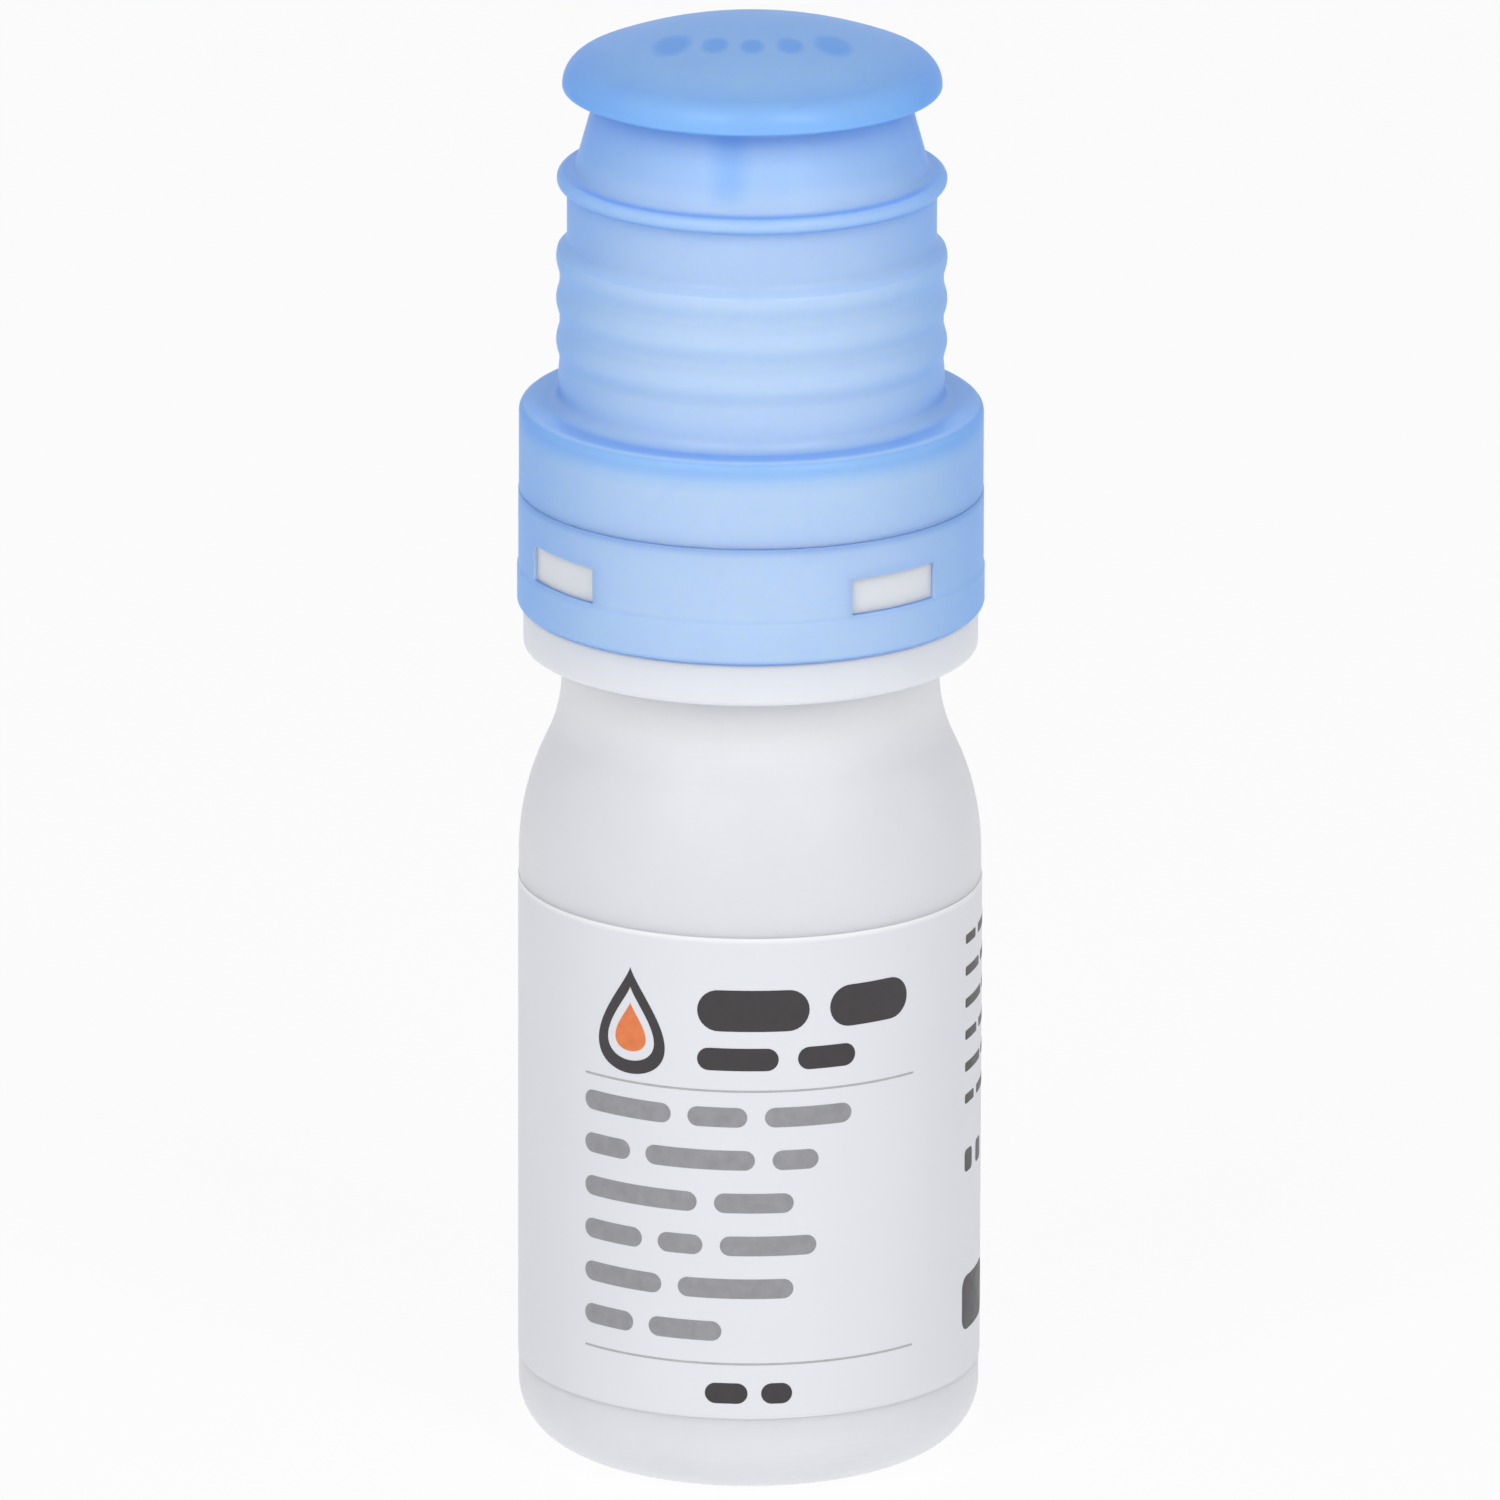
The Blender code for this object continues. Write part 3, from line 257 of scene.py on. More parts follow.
class CapSizes(bpy.types.PropertyGroup):
    """Sizes of the pull-off cap"""
    flange_radius: length("Flange radius", "Wide foot of the cap", 0.0119)
    flange_height: length("Flange height", "Height of the wide foot", 0.00455)
    flange_round: length("Flange round", "Rounding on top of the flange", 0.0005)
    flange_bore: length("Flange bore", "Inside of the flange", 0.01088)
    roof: length("Roof", "Thickness of the step between flange and cylinder", 0.0011)
    cylinder_radius: length("Cylinder radius", "Side between the grip beads", 0.00982)
    cylinder_bore: length("Cylinder bore", "Inside of the cap", 0.0087)
    hold_bead: length("Hold bead", "Depth of the bead that holds the cap", 0.00028)
    hold_height: length("Hold height", "Height of the bead that holds the cap", 0.0012)
    foot_fillet: length("Foot fillet", "Hollow round at the cylinder's foot", 0.0009)
    foot_spread: length("Foot spread", "How far the cylinder's foot stands out", 0.00008)
    grip_beads: IntProperty(name="Grip beads", description="Beads round the side", default=3, min=1)
    grip_pitch: length("Grip pitch", "From bead to bead", 0.0022)
    grip_height: length("Grip height", "Height of one bead with its soft feet", 0.0019)
    grip_depth: length("Grip depth", "How far a bead stands out", 0.00018)
    grip_rise: length("Grip rise", "Middle of the lowest bead above the flange", 0.00326)
    band_foot: length("Band foot", "Band's foot above the middle of the highest bead", 0.00053)
    band_height: length("Band height", "Plain band above the beads", 0.0032)
    band_depth: length("Band depth", "How far the band is set in", 0.00037)
    ridge_depth: length("Ridge depth", "How far the ridge stands out of the band", 0.00052)
    ridge_height: length("Ridge height", "Height of the ridge", 0.00084)
    throat_height: length("Throat height", "From the ridge to the mushroom", 0.0043)
    throat_foot: length("Throat foot", "Radius where the throat begins", 0.0091)
    throat_top: length("Throat top", "Radius under the mushroom", 0.0079)
    throat_wall: length("Throat wall", "Thickness of the throat", 0.0012)
    mushroom_radius: length("Mushroom radius", "Rim of the mushroom", 0.0097)
    mushroom_edge: length("Mushroom edge", "Rounding under the rim", 0.0002)
    mushroom_shoulder: length("Mushroom shoulder", "Rounding from rim to dome", 0.0015)
    dome_round: length("Dome round", "Radius of the low dome", 0.0226)
    boss_bore: length("Boss bore", "Inside of the seal's boss", 0.0026)
    boss_wall: length("Boss wall", "Thickness of the seal's boss", 0.0009)
    boss_height: length("Boss height", "Height of the seal's boss", 0.0015)
    rib_height: length("Rib height", "Depth of the inner ribs", 0.0037)
    rib_thickness: length("Rib thickness", "Thickness of the inner ribs", 0.0009)
    ribs: IntProperty(name="Ribs", description="Inner ribs under the dome", default=4, min=1)
    rib_angle: angle("Rib angle", "Where the first rib stands", -8.0)
    mark_depth: length("Mark depth", "Depth of the moulded marks on the dome", 0.00006)
    seal_gap: length("Seal gap", "Space over the seal disc", 0.00015)
    seal_round: length("Seal round", "Rounding of the seal disc", 0.00003)


class TipSizes(bpy.types.PropertyGroup):
    """Sizes of the dropper tip and of the pin that closes it"""
    channel: length("Channel", "Radius of the outlet", 0.00045)
    top_radius: length("Top radius", "Top of the nozzle", 0.0015)
    top_round: length("Top round", "Rounding on top of the nozzle", 0.00045)
    foot_radius: length("Foot radius", "Foot of the nozzle", 0.0023)
    foot_fillet: length("Foot fillet", "Hollow round at the nozzle's foot", 0.0002)
    flange_gap: length("Flange gap", "Space under the flange", 0.00015)
    flange_radius: length("Flange radius", "Flange over the head's socket", 0.0031)
    flange_height: length("Flange height", "Thickness of the flange", 0.0006)
    edge_round: length("Edge round", "Rounding of the small edges", 0.0001)
    plug_radius: length("Plug radius", "Plug in the head's socket", 0.00245)
    plug_bore: length("Plug bore", "Inside of the plug", 0.0015)
    seat_foot: length("Seat foot", "Foot of the valve seat under the tip's top", 0.0022)
    seat_top: length("Seat top", "Top of the valve seat under the tip's top", 0.00115)
    pin_point: length("Pin point", "Radius of the pin in the outlet", 0.00035)
    cone_top: length("Cone top", "Top of the pin's cone under the tip's top", 0.00126)
    cone_foot: length("Cone foot", "Foot of the pin's cone under the tip's top", 0.00181)
    pin_radius: length("Pin radius", "Body of the pin", 0.0009)
    collar_radius: length("Collar radius", "Collar that the spring presses on", 0.0013)
    collar_rise: length("Collar rise", "Collar above the pin's foot", 0.0011)
    collar_height: length("Collar height", "Thickness of the collar", 0.0004)
    pin_foot: length("Pin foot", "Radius of the pin inside the spring", 0.0006)


class SpringSizes(bpy.types.PropertyGroup):
    """Sizes of the two springs"""
    return_radius: length("Return radius", "Middle of the return spring's wire", 0.0043)
    return_wire: length("Return wire", "Thickness of the return spring's wire", 0.0006)
    return_turns: amount("Return turns", "Turns of the return spring", 7.5)
    tip_radius: length("Tip radius", "Middle of the tip spring's wire", 0.0011)
    tip_wire: length("Tip wire", "Thickness of the tip spring's wire", 0.0003)
    tip_turns: amount("Tip turns", "Turns of the tip spring", 5.0)


class Colours(bpy.types.PropertyGroup):
    """Colours of the mouldings, the film and the inks"""
    blue_thin: colour("Thin blue", "Blue wall with white behind it", (0.95, 0.94, 1.0))
    blue_thick: colour("Thick blue", "Blue where the wall is solid", (0.41, 0.64, 0.95))
    blue_tint: colour("Blue tint", "What the blue plastic lets through", (0.56, 0.745, 1.0))
    white: colour("White", "White of the pump head", (0.785, 0.81, 0.87))
    milk: colour("Milk", "Milky white of the bottle", (0.80, 0.812, 0.868))
    # Painted light: the neck tone is a paler milk that lifts the shade under the pump head's bell
    neck: colour("Neck", "Milky white where the neck thickens", (0.90, 0.91, 0.97))
    film: colour("Film", "Face of the label", (0.795, 0.81, 0.86))
    # Painted highlight: a paler tone for the strip along the film's top edge
    film_edge_highlight: colour("Film edge", "Cut edge of the film, which catches the light", (0.93, 0.94, 0.96))
    charcoal: colour("Charcoal", "Heavy print", (0.035, 0.030, 0.034))
    grey: colour("Grey", "Light print", (0.30, 0.30, 0.32))
    rule: colour("Rule", "Thin rules", (0.45, 0.45, 0.46))
    orange: colour("Orange", "Accent print", (0.80, 0.21, 0.06))
    natural: colour("Natural", "Uncoloured inner mouldings", (0.78, 0.80, 0.80))
    rubber: colour("Rubber", "Soft seals", (0.33, 0.34, 0.36))
    steel: colour("Steel", "Springs and ball", (0.62, 0.62, 0.61))
    filter: colour("Filter", "Porous disc", (0.84, 0.84, 0.80))


class Studio(bpy.types.PropertyGroup):
    """Camera, light and floor"""
    camera_distance: length("Camera distance", "From the bottle's axis to the camera", 1.2)
    camera_rise: angle("Camera rise", "Camera above the horizon", 16.65)
    camera_aim: length("Camera aim", "Height that the camera looks at", 0.03675)
    camera_side: length("Camera side", "How far the picture's middle is off the axis", -0.00002)
    camera_roll: angle("Camera roll", "Lean of the picture", 0.17)
    camera_lens: amount("Lens", "Focal length in millimetres", 560.4)
    ambient: amount("Ambient", "Strength of the light from all round", 0.32)
    lamp_angle: angle("Lamp angle", "Softboxes left and right of the camera", 32.0)
    lamp_rise: angle("Lamp rise", "Softboxes above the horizon", 40.0)
    lamp_distance: length("Lamp distance", "From the bottle to a softbox", 0.9)
    lamp_width: length("Lamp width", "Width of a softbox", 0.28)
    lamp_height: length("Lamp height", "Height of a softbox", 0.6)
    lamp_power: amount("Lamp power", "Power of a softbox in watts", 2.5)
    floor_size: length("Floor size", "Radius of the floor", 3.0)
    floor_veil: share("Floor veil", "Share of plain white in the floor as it is seen", 0.92)
    floor_glow: share("Floor glow", "Share of plain white in the light that the floor gives", 0.9)


class EyeDropSettings(bpy.types.PropertyGroup):
    """All that can be set"""
    bottle: PointerProperty(type=BottleSizes)
    label: PointerProperty(type=LabelSizes)
    print_sizes: PointerProperty(type=PrintSizes)
    head: PointerProperty(type=HeadSizes)
    ring: PointerProperty(type=RingSizes)
    cap: PointerProperty(type=CapSizes)
    tip: PointerProperty(type=TipSizes)
    springs: PointerProperty(type=SpringSizes)
    colours: PointerProperty(type=Colours)
    studio: PointerProperty(type=Studio)


# Node trees
class Tree:
    """Shorthand for writing a node tree."""

    def __init__(self, tree):
        self.tree = tree

    def node(self, kind, inputs=None, **settings):
        """Add a node, with a value or a link for each input named."""
        made = self.tree.nodes.new(kind)
        made.location = (len(self.tree.nodes) * 180, 0)
        for key, value in settings.items():
            setattr(made, key, value)
        for key, value in (inputs or {}).items():
            if isinstance(value, bpy.types.NodeSocket):
                self.tree.links.new(value, made.inputs[key])
            else:
                made.inputs[key].default_value = value
        return made

    def maths(self, operation, first, second=0.0):
        """Result of one operation on two numbers."""
        return self.node("ShaderNodeMath", {0: first, 1: second}, operation=operation).outputs[0]

    def between(self, value, low, high, low_result=0.0, high_result=1.0):
        """Value carried from one span to another, held at both ends."""
        inputs = {
            "Value": value, "From Min": low, "From Max": high,
            "To Min": low_result, "To Max": high_result}
        return self.node("ShaderNodeMapRange", inputs).outputs["Result"]

    def mix(self, factor, first, second, blend="MIX"):
        """Mix of two colours."""
        made = self.node("ShaderNodeMix", data_type="RGBA", blend_type=blend)
        for socket, value in ((0, factor), (6, first), (7, second)):
            if isinstance(value, bpy.types.NodeSocket):
                self.tree.links.new(value, made.inputs[socket])
            else:
                made.inputs[socket].default_value = value
        return made.outputs[2]


def geometry_tree(name, inputs):
    """Empty Geometry Nodes tree with its named inputs."""
    group = bpy.data.node_groups.new(name, "GeometryNodeTree")
    group.interface.new_socket("Geometry", in_out="INPUT", socket_type="NodeSocketGeometry")
    group.interface.new_socket("Geometry", in_out="OUTPUT", socket_type="NodeSocketGeometry")
    for label, kind in inputs.items():
        group.interface.new_socket(label, in_out="INPUT", socket_type="NodeSocket" + kind)
    group.interface.new_socket("Material", in_out="INPUT", socket_type="NodeSocketMaterial")
    tree = Tree(group)
    return tree, tree.node("NodeGroupInput").outputs


def end_tree(tree, geometry, material):
    """Close a geometry tree with real meshes in one material."""
    real = tree.node("GeometryNodeRealizeInstances", {"Geometry": geometry})
    coated = tree.node(
        "GeometryNodeSetMaterial", {"Geometry": real.outputs[0], "Material": material})
    tree.node("NodeGroupOutput", {"Geometry": coated.outputs[0]})
    return tree.tree


def turning_tree():
    """Turns a row of points round the Z axis into a closed skin."""
    tree, given = geometry_tree("Turn an outline", {"Points": "Int", "Steps": "Int"})
    rings = tree.maths("ADD", given["Steps"], 1.0)
    grid = tree.node("GeometryNodeMeshGrid", {
        "Size X": 1.0, "Size Y": 1.0, "Vertices X": given["Points"], "Vertices Y": rings})
    position = tree.node("GeometryNodeInputPosition").outputs[0]
    place = tree.node("ShaderNodeSeparateXYZ", {0: position}).outputs
    last = tree.maths("SUBTRACT", given["Points"], 1.0)
    index = tree.maths("ROUND", tree.maths("MULTIPLY", tree.maths("ADD", place[0], 0.5), last))
    turn = tree.maths("MULTIPLY", tree.maths("ADD", place[1], 0.5), 2 * math.pi)
    sample = tree.node(
        "GeometryNodeSampleIndex",
        {"Geometry": given["Geometry"], "Value": position, "Index": index},
        data_type="FLOAT_VECTOR")
    found = tree.node("ShaderNodeSeparateXYZ", {0: sample.outputs[0]}).outputs
    turned = tree.node("ShaderNodeCombineXYZ", {
        0: tree.maths("MULTIPLY", found[0], tree.maths("COSINE", turn)),
        1: tree.maths("MULTIPLY", found[0], tree.maths("SINE", turn)),
        2: found[2]})
    skin = tree.node(
        "GeometryNodeSetPosition", {"Geometry": grid.outputs[0], "Position": turned.outputs[0]})
    closed = tree.node(
        "GeometryNodeMergeByDistance", {"Geometry": skin.outputs[0], "Distance": MERGE_DISTANCE})
    return end_tree(tree, closed.outputs[0], given["Material"])


def wrapped_place(tree, radius, along, outwards, height):
    """Place on the round of the bottle for a place on a flat drawing."""
    turn = tree.maths("DIVIDE", along, radius)
    reach = tree.maths("ADD", radius, outwards)
    return tree.node("ShaderNodeCombineXYZ", {
        0: tree.maths("MULTIPLY", reach, tree.maths("SINE", turn)),
        1: tree.maths("MULTIPLY", tree.maths("MULTIPLY", reach, tree.maths("COSINE", turn)), -1.0),
        2: height}).outputs[0]


def thickened(tree, surface, thickness):
    """Closed slab that stands out from an open surface."""
    raised = tree.node(
        "GeometryNodeExtrudeMesh",
        {"Mesh": surface, "Offset Scale": thickness, "Individual": False}, mode="FACES")
    under = tree.node("GeometryNodeFlipFaces", {"Mesh": surface})
    both = tree.node("GeometryNodeJoinGeometry")
    tree.tree.links.new(raised.outputs["Mesh"], both.inputs[0])
    tree.tree.links.new(under.outputs[0], both.inputs[0])
    closed = tree.node(
        "GeometryNodeMergeByDistance",
        {"Geometry": both.outputs[0], "Distance": MERGE_DISTANCE})
    return closed.outputs[0]


def wrapping_tree():
    """Bends a flat drawing round the bottle and gives it a thickness."""
    tree, given = geometry_tree("Wrap a sheet", {"Radius": "Float", "Thickness": "Float"})
    position = tree.node("GeometryNodeInputPosition").outputs[0]
    place = tree.node("ShaderNodeSeparateXYZ", {0: position}).outputs
    outwards = tree.maths("MULTIPLY", place[1], -1.0)
    bent = tree.node("GeometryNodeSetPosition", {
        "Geometry": given["Geometry"],
        "Position": wrapped_place(tree, given["Radius"], place[0], outwards, place[2])})
    return end_tree(tree, thickened(tree, bent.outputs[0], given["Thickness"]), given["Material"])


def bar_tree():
    """Sets a round-ended bar on each point and wraps it round the bottle."""
    tree, given = geometry_tree("Wrap bars", {
        "Columns": "Int", "Radius": "Float", "Thickness": "Float", "Round Share": "Float"})
    middle = tree.node("GeometryNodeInputPosition").outputs[0]
    stored = tree.node(
        "GeometryNodeStoreNamedAttribute",
        {"Geometry": given["Geometry"], "Name": "middle", "Value": middle},
        data_type="FLOAT_VECTOR", domain="POINT")
    grid = tree.node("GeometryNodeMeshGrid", {
        "Size X": 1.0, "Size Y": 1.0, "Vertices X": given["Columns"], "Vertices Y": 2})
    bars = tree.node(
        "GeometryNodeInstanceOnPoints",
        {"Points": stored.outputs[0], "Instance": grid.outputs[0]})
    real = tree.node("GeometryNodeRealizeInstances", {"Geometry": bars.outputs[0]}).outputs[0]
    values = {}
    for name, kind in (("middle", "FLOAT_VECTOR"), ("width", "FLOAT"), ("height", "FLOAT")):
        found = tree.node("GeometryNodeInputNamedAttribute", {"Name": name}, data_type=kind)
        values[name] = found.outputs[0]
    centre = tree.node("ShaderNodeSeparateXYZ", {0: values["middle"]}).outputs
    place = tree.node("ShaderNodeSeparateXYZ", {0: middle}).outputs
    across = tree.maths("SUBTRACT", place[0], centre[0])
    up = tree.maths("SUBTRACT", place[1], centre[1])
    eased = tree.maths("DIVIDE", tree.maths("SINE", tree.maths("MULTIPLY", across, math.pi)), 2.0)
    along = tree.maths("MULTIPLY", eased, values["width"])
    half_width = tree.maths("DIVIDE", values["width"], 2.0)
    half_height = tree.maths("DIVIDE", values["height"], 2.0)
    corner = tree.maths("MULTIPLY", half_height, given["Round Share"])
    straight = tree.maths("SUBTRACT", half_width, corner)
    beyond = tree.maths(
        "MAXIMUM", tree.maths("SUBTRACT", tree.maths("ABSOLUTE", along), straight), 0.0)
    square = tree.maths(
        "SUBTRACT", tree.maths("MULTIPLY", corner, corner), tree.maths("MULTIPLY", beyond, beyond))
    curve = tree.maths("SQRT", tree.maths("MAXIMUM", square, 0.0))
    reach = tree.maths("ADD", tree.maths("SUBTRACT", half_height, corner), curve)
    rise = tree.maths("MULTIPLY", tree.maths("MULTIPLY", up, 2.0), reach)
    bent = tree.node("GeometryNodeSetPosition", {
        "Geometry": real,
        "Position": wrapped_place(
            tree, given["Radius"], tree.maths("ADD", centre[0], along), 0.0,
            tree.maths("ADD", centre[2], rise))})
    return end_tree(tree, thickened(tree, bent.outputs[0], given["Thickness"]), given["Material"])


def coil_tree():
    """Winds a compression spring whose end turns lie close."""
    tree, given = geometry_tree("Wind a spring", {
        "Turns": "Float", "Points": "Int", "Radius": "Float", "Wire": "Float",
        "Bottom": "Float", "Top": "Float"})
    line = tree.node("GeometryNodeCurvePrimitiveLine")
    points = tree.node(
        "GeometryNodeResampleCurve", {"Curve": line.outputs[0], "Count": given["Points"]})
    factor = tree.node("GeometryNodeSplineParameter").outputs["Factor"]
    turns = tree.maths("MULTIPLY", factor, given["Turns"])
    turn = tree.maths("MULTIPLY", turns, 2 * math.pi)
    last = tree.maths("SUBTRACT", given["Turns"], 1.0)
    low = tree.maths("ADD", given["Bottom"], tree.maths("MULTIPLY", given["Wire"], 0.5))
    low_end = tree.maths("ADD", low, given["Wire"])
    high = tree.maths("SUBTRACT", given["Top"], tree.maths("MULTIPLY", given["Wire"], 0.5))
    high_end = tree.maths("SUBTRACT", high, given["Wire"])
    first_rise = tree.between(turns, 0.0, 1.0, low, low_end)
    free_rise = tree.between(turns, 1.0, last, low_end, high_end)
    last_rise = tree.between(turns, last, given["Turns"], high_end, high)
    height = tree.maths(
        "SUBTRACT", tree.maths("ADD", tree.maths("ADD", first_rise, free_rise), last_rise),
        tree.maths("ADD", low_end, high_end))
    place = tree.node("ShaderNodeCombineXYZ", {
        0: tree.maths("MULTIPLY", given["Radius"], tree.maths("COSINE", turn)),
        1: tree.maths("MULTIPLY", given["Radius"], tree.maths("SINE", turn)),
        2: height})
    path = tree.node(
        "GeometryNodeSetPosition", {"Geometry": points.outputs[0], "Position": place.outputs[0]})
    section = tree.node("GeometryNodeCurvePrimitiveCircle", {
        "Resolution": 12, "Radius": tree.maths("MULTIPLY", given["Wire"], 0.5)})
    wire = tree.node("GeometryNodeCurveToMesh", {
        "Curve": path.outputs[0], "Profile Curve": section.outputs[0], "Fill Caps": True})
    return end_tree(tree, wire.outputs[0], given["Material"])


def rib_tree():
    """Sets upright ribs round the axis."""
    tree, given = geometry_tree("Ribs round the axis", {
        "Count": "Int", "First": "Float", "Inner": "Float", "Outer": "Float",
        "Thickness": "Float", "Bottom": "Float", "Top": "Float"})
    size = tree.node("ShaderNodeCombineXYZ", {
        0: tree.maths("SUBTRACT", given["Outer"], given["Inner"]),
        1: given["Thickness"],
        2: tree.maths("SUBTRACT", given["Top"], given["Bottom"])})
    block = tree.node("GeometryNodeMeshCube", {"Size": size.outputs[0]})
    out = tree.node("ShaderNodeCombineXYZ", {
        0: tree.maths("DIVIDE", tree.maths("ADD", given["Outer"], given["Inner"]), 2.0),
        2: tree.maths("DIVIDE", tree.maths("ADD", given["Top"], given["Bottom"]), 2.0)})
    placed = tree.node(
        "GeometryNodeTransform", {"Geometry": block.outputs[0], "Translation": out.outputs[0]})
    points = tree.node("GeometryNodePoints", {"Count": given["Count"]})
    index = tree.node("GeometryNodeInputIndex").outputs[0]
    pitch = tree.maths("DIVIDE", 2 * math.pi, given["Count"])
    turn = tree.maths("ADD", given["First"], tree.maths("MULTIPLY", index, pitch))
    rotation = tree.node("ShaderNodeCombineXYZ", {2: turn})
    ribs = tree.node("GeometryNodeInstanceOnPoints", {
        "Points": points.outputs[0], "Instance": placed.outputs[0],
        "Rotation": rotation.outputs[0]})
    return end_tree(tree, ribs.outputs[0], given["Material"])


# Meshes and outlines
def through_tree(target, tree, material, values):
    """Send an object's mesh through a tree and keep the result as its plain mesh."""
    modifier = target.modifiers.new(tree.name, "NODES")
    modifier.node_group = tree
    for socket in tree.interface.items_tree:
        if socket.in_out == "INPUT" and socket.name in values:
            modifier[socket.identifier] = values[socket.name]
        if socket.in_out == "INPUT" and socket.name == "Material":
            modifier[socket.identifier] = material
    made = plain_copy(target)
    target.modifiers.remove(modifier)
    target.data = made
    target.data.materials.clear()
    target.data.materials.append(material)
    target.data.polygons.foreach_set("material_index", [0] * len(made.polygons))
    return target


def plain_copy(target):
    """Mesh of an object as its modifiers leave it."""
    graph = bpy.context.evaluated_depsgraph_get()
    return bpy.data.meshes.new_from_object(target.evaluated_get(graph))


def new_object(name, points, faces=()):
    """Object from points and faces."""
    mesh = bpy.data.meshes.new(name)
    mesh.from_pydata(points, [], faces)
    made = bpy.data.objects.new(name, mesh)
    bpy.context.scene.collection.objects.link(made)
    return made


def smoothed(target, sharp_angle=math.radians(38)):
    """Shade an object smooth between its sharp edges."""
    target.data.shade_smooth()
    target.data.set_sharp_from_angle(angle=sharp_angle)
    return target


def applied(target, kind, **settings):
    """Run one modifier on an object and keep its result."""
    modifier = target.modifiers.new(kind.title(), kind)
    for key, value in settings.items():
        setattr(modifier, key, value)
    made = plain_copy(target)
    target.modifiers.remove(modifier)
    target.data = made
    return target


def arc(centre, radius, start, end, steps):
    """Points of a round stretch in degrees, both ends included."""
    points = []
    for step in range(steps + 1):
        turn = math.radians(start + (end - start) * step / steps)
        points.append((centre[0] + radius * math.cos(turn), centre[1] + radius * math.sin(turn)))
    return points


def corner_arc(before, corner, after, size):
    """Arc that rounds the corner between two straight runs."""
    corner = Vector(corner)
    back = Vector(before) - corner
    ahead = Vector(after) - corner
    opening = back.angle(ahead)
    reach = min(size / math.tan(opening / 2), 0.48 * min(back.length, ahead.length))
    size = reach * math.tan(opening / 2)
    inwards = (back.normalized() + ahead.normalized()).normalized()
    centre = corner + inwards * size / math.sin(opening / 2)
    first = corner + back.normalized() * reach - centre
    last = corner + ahead.normalized() * reach - centre
    start = math.atan2(first.y, first.x)
    sweep = (math.atan2(last.y, last.x) - start + math.pi) % (2 * math.pi) - math.pi
    steps = max(1, round(abs(sweep) / ROUND_STEP))
    points = []
    for step in range(steps + 1):
        turn = start + sweep * step / steps
        points.append((centre.x + size * math.cos(turn), centre.y + size * math.sin(turn)))
    return points


def rounded(corners):
    """Outline through corners, of which those with a third number are rounded by it."""
    points = []
    for index, corner in enumerate(corners):
        if len(corner) < 3:
            points.append(corner)
            continue
        before = corners[index - 1][:2]
        after = corners[(index + 1) % len(corners)][:2]
        points += corner_arc(before, corner[:2], after, corner[2])
    return points


def held(points):
    """Outline with a point close to both ends of each long run, which keeps its shading flat."""
    result = [points[0]]
    for start, end in zip(points, points[1:]):
        span = math.dist(start, end)
        if span > 4 * EDGE_HOLD:
            for share_along in (EDGE_HOLD / span, 1 - EDGE_HOLD / span):
                result.append(tuple(a + (b - a) * share_along for a, b in zip(start, end)))
        result.append(end)
    return result


def turned_piece(name, corners, material, steps=TURN_STEPS):
    """Solid of revolution from corners that run down the outer side."""
    outline = rounded(corners)
    if outline[0][0] > 0.0 or outline[-1][0] > 0.0:
        outline.append(outline[0])
    outline = held(outline)
    target = new_object(name, [(radius, 0.0, height) for radius, height in outline])
    values = {"Points": len(outline), "Steps": steps}
    return smoothed(through_tree(target, shared_tree(turning_tree), material, values))


def shared_tree(maker):
    """Tree of a maker function, built on its first use."""
    found = bpy.data.node_groups.get(maker.__name__)
    if found is None:
        found = maker()
        found.name = maker.__name__
    return found


def bars_piece(name, bars, radius, thickness, material, round_share=1.0, columns=24):
    """Wrapped bars: each is its middle along the round, its middle height, its width and height."""
    target = new_object(name, [(bar[0], 0.0, bar[1]) for bar in bars])
    for label, index in (("width", 2), ("height", 3)):
        values = target.data.attributes.new(label, "FLOAT", "POINT")
        values.data.foreach_set("value", [bar[index] for bar in bars])
    inputs = {
        "Columns": columns, "Radius": radius, "Thickness": thickness, "Round Share": round_share}
    return smoothed(through_tree(target, shared_tree(bar_tree), material, inputs))


def settings():
    """All settings of this scene."""
    return bpy.context.scene.eye_drops


# Finishes
def material_tree(name):
    """New material with its tree and its Principled shader."""
    material = bpy.data.materials.new(name)
    material.use_nodes = True
    tree = Tree(material.node_tree)
    shader = material.node_tree.nodes["Principled BSDF"]
    return material, tree, shader


def known_material(maker):
    """Material of a maker function, made on its first use."""
    name = maker.__name__.replace("_material", "_finish")
    return bpy.data.materials.get(name) or maker(name)


def object_noise(tree, size, detail=3.0):
    """Noise whose blotches have a size in metres, fixed to the object."""
    place = tree.node("ShaderNodeTexCoord").outputs["Object"]
    noise = tree.node(
        "ShaderNodeTexNoise",
        {"Vector": place, "Scale": 1.0 / size, "Detail": detail, "Roughness": 0.55})
    return noise.outputs["Fac"]


def grained(tree, shader, grain, depth, roughness, spread, relief=0.0):
    """Satin grain of a mould on a relief in metres, and a finish that is not quite even."""
    fine = tree.maths("MULTIPLY", object_noise(tree, grain, 4.0), depth)
    height = tree.maths("ADD", fine, relief)
    bump = tree.node("ShaderNodeBump", {"Height": height, "Strength": 1.0, "Distance": 1.0})
    tree.tree.links.new(bump.outputs[0], shader.inputs["Normal"])
    wide = object_noise(tree, grain * 14)
    uneven = tree.between(wide, 0.3, 0.7, roughness - spread, roughness + spread)
    tree.tree.links.new(uneven, shader.inputs["Roughness"])


def mottled(tree, shader, base, size, strength):
    """Give a shader a colour with soft lighter and darker blotches."""
    blotch = tree.between(object_noise(tree, size), 0.3, 0.7, 1.0 - strength, 1.0 + strength)
    grey = tree.node("ShaderNodeCombineColor", {0: blotch, 1: blotch, 2: blotch}).outputs[0]
    uneven = tree.mix(1.0, base, grey, "MULTIPLY")
    tree.tree.links.new(uneven, shader.inputs["Base Color"])


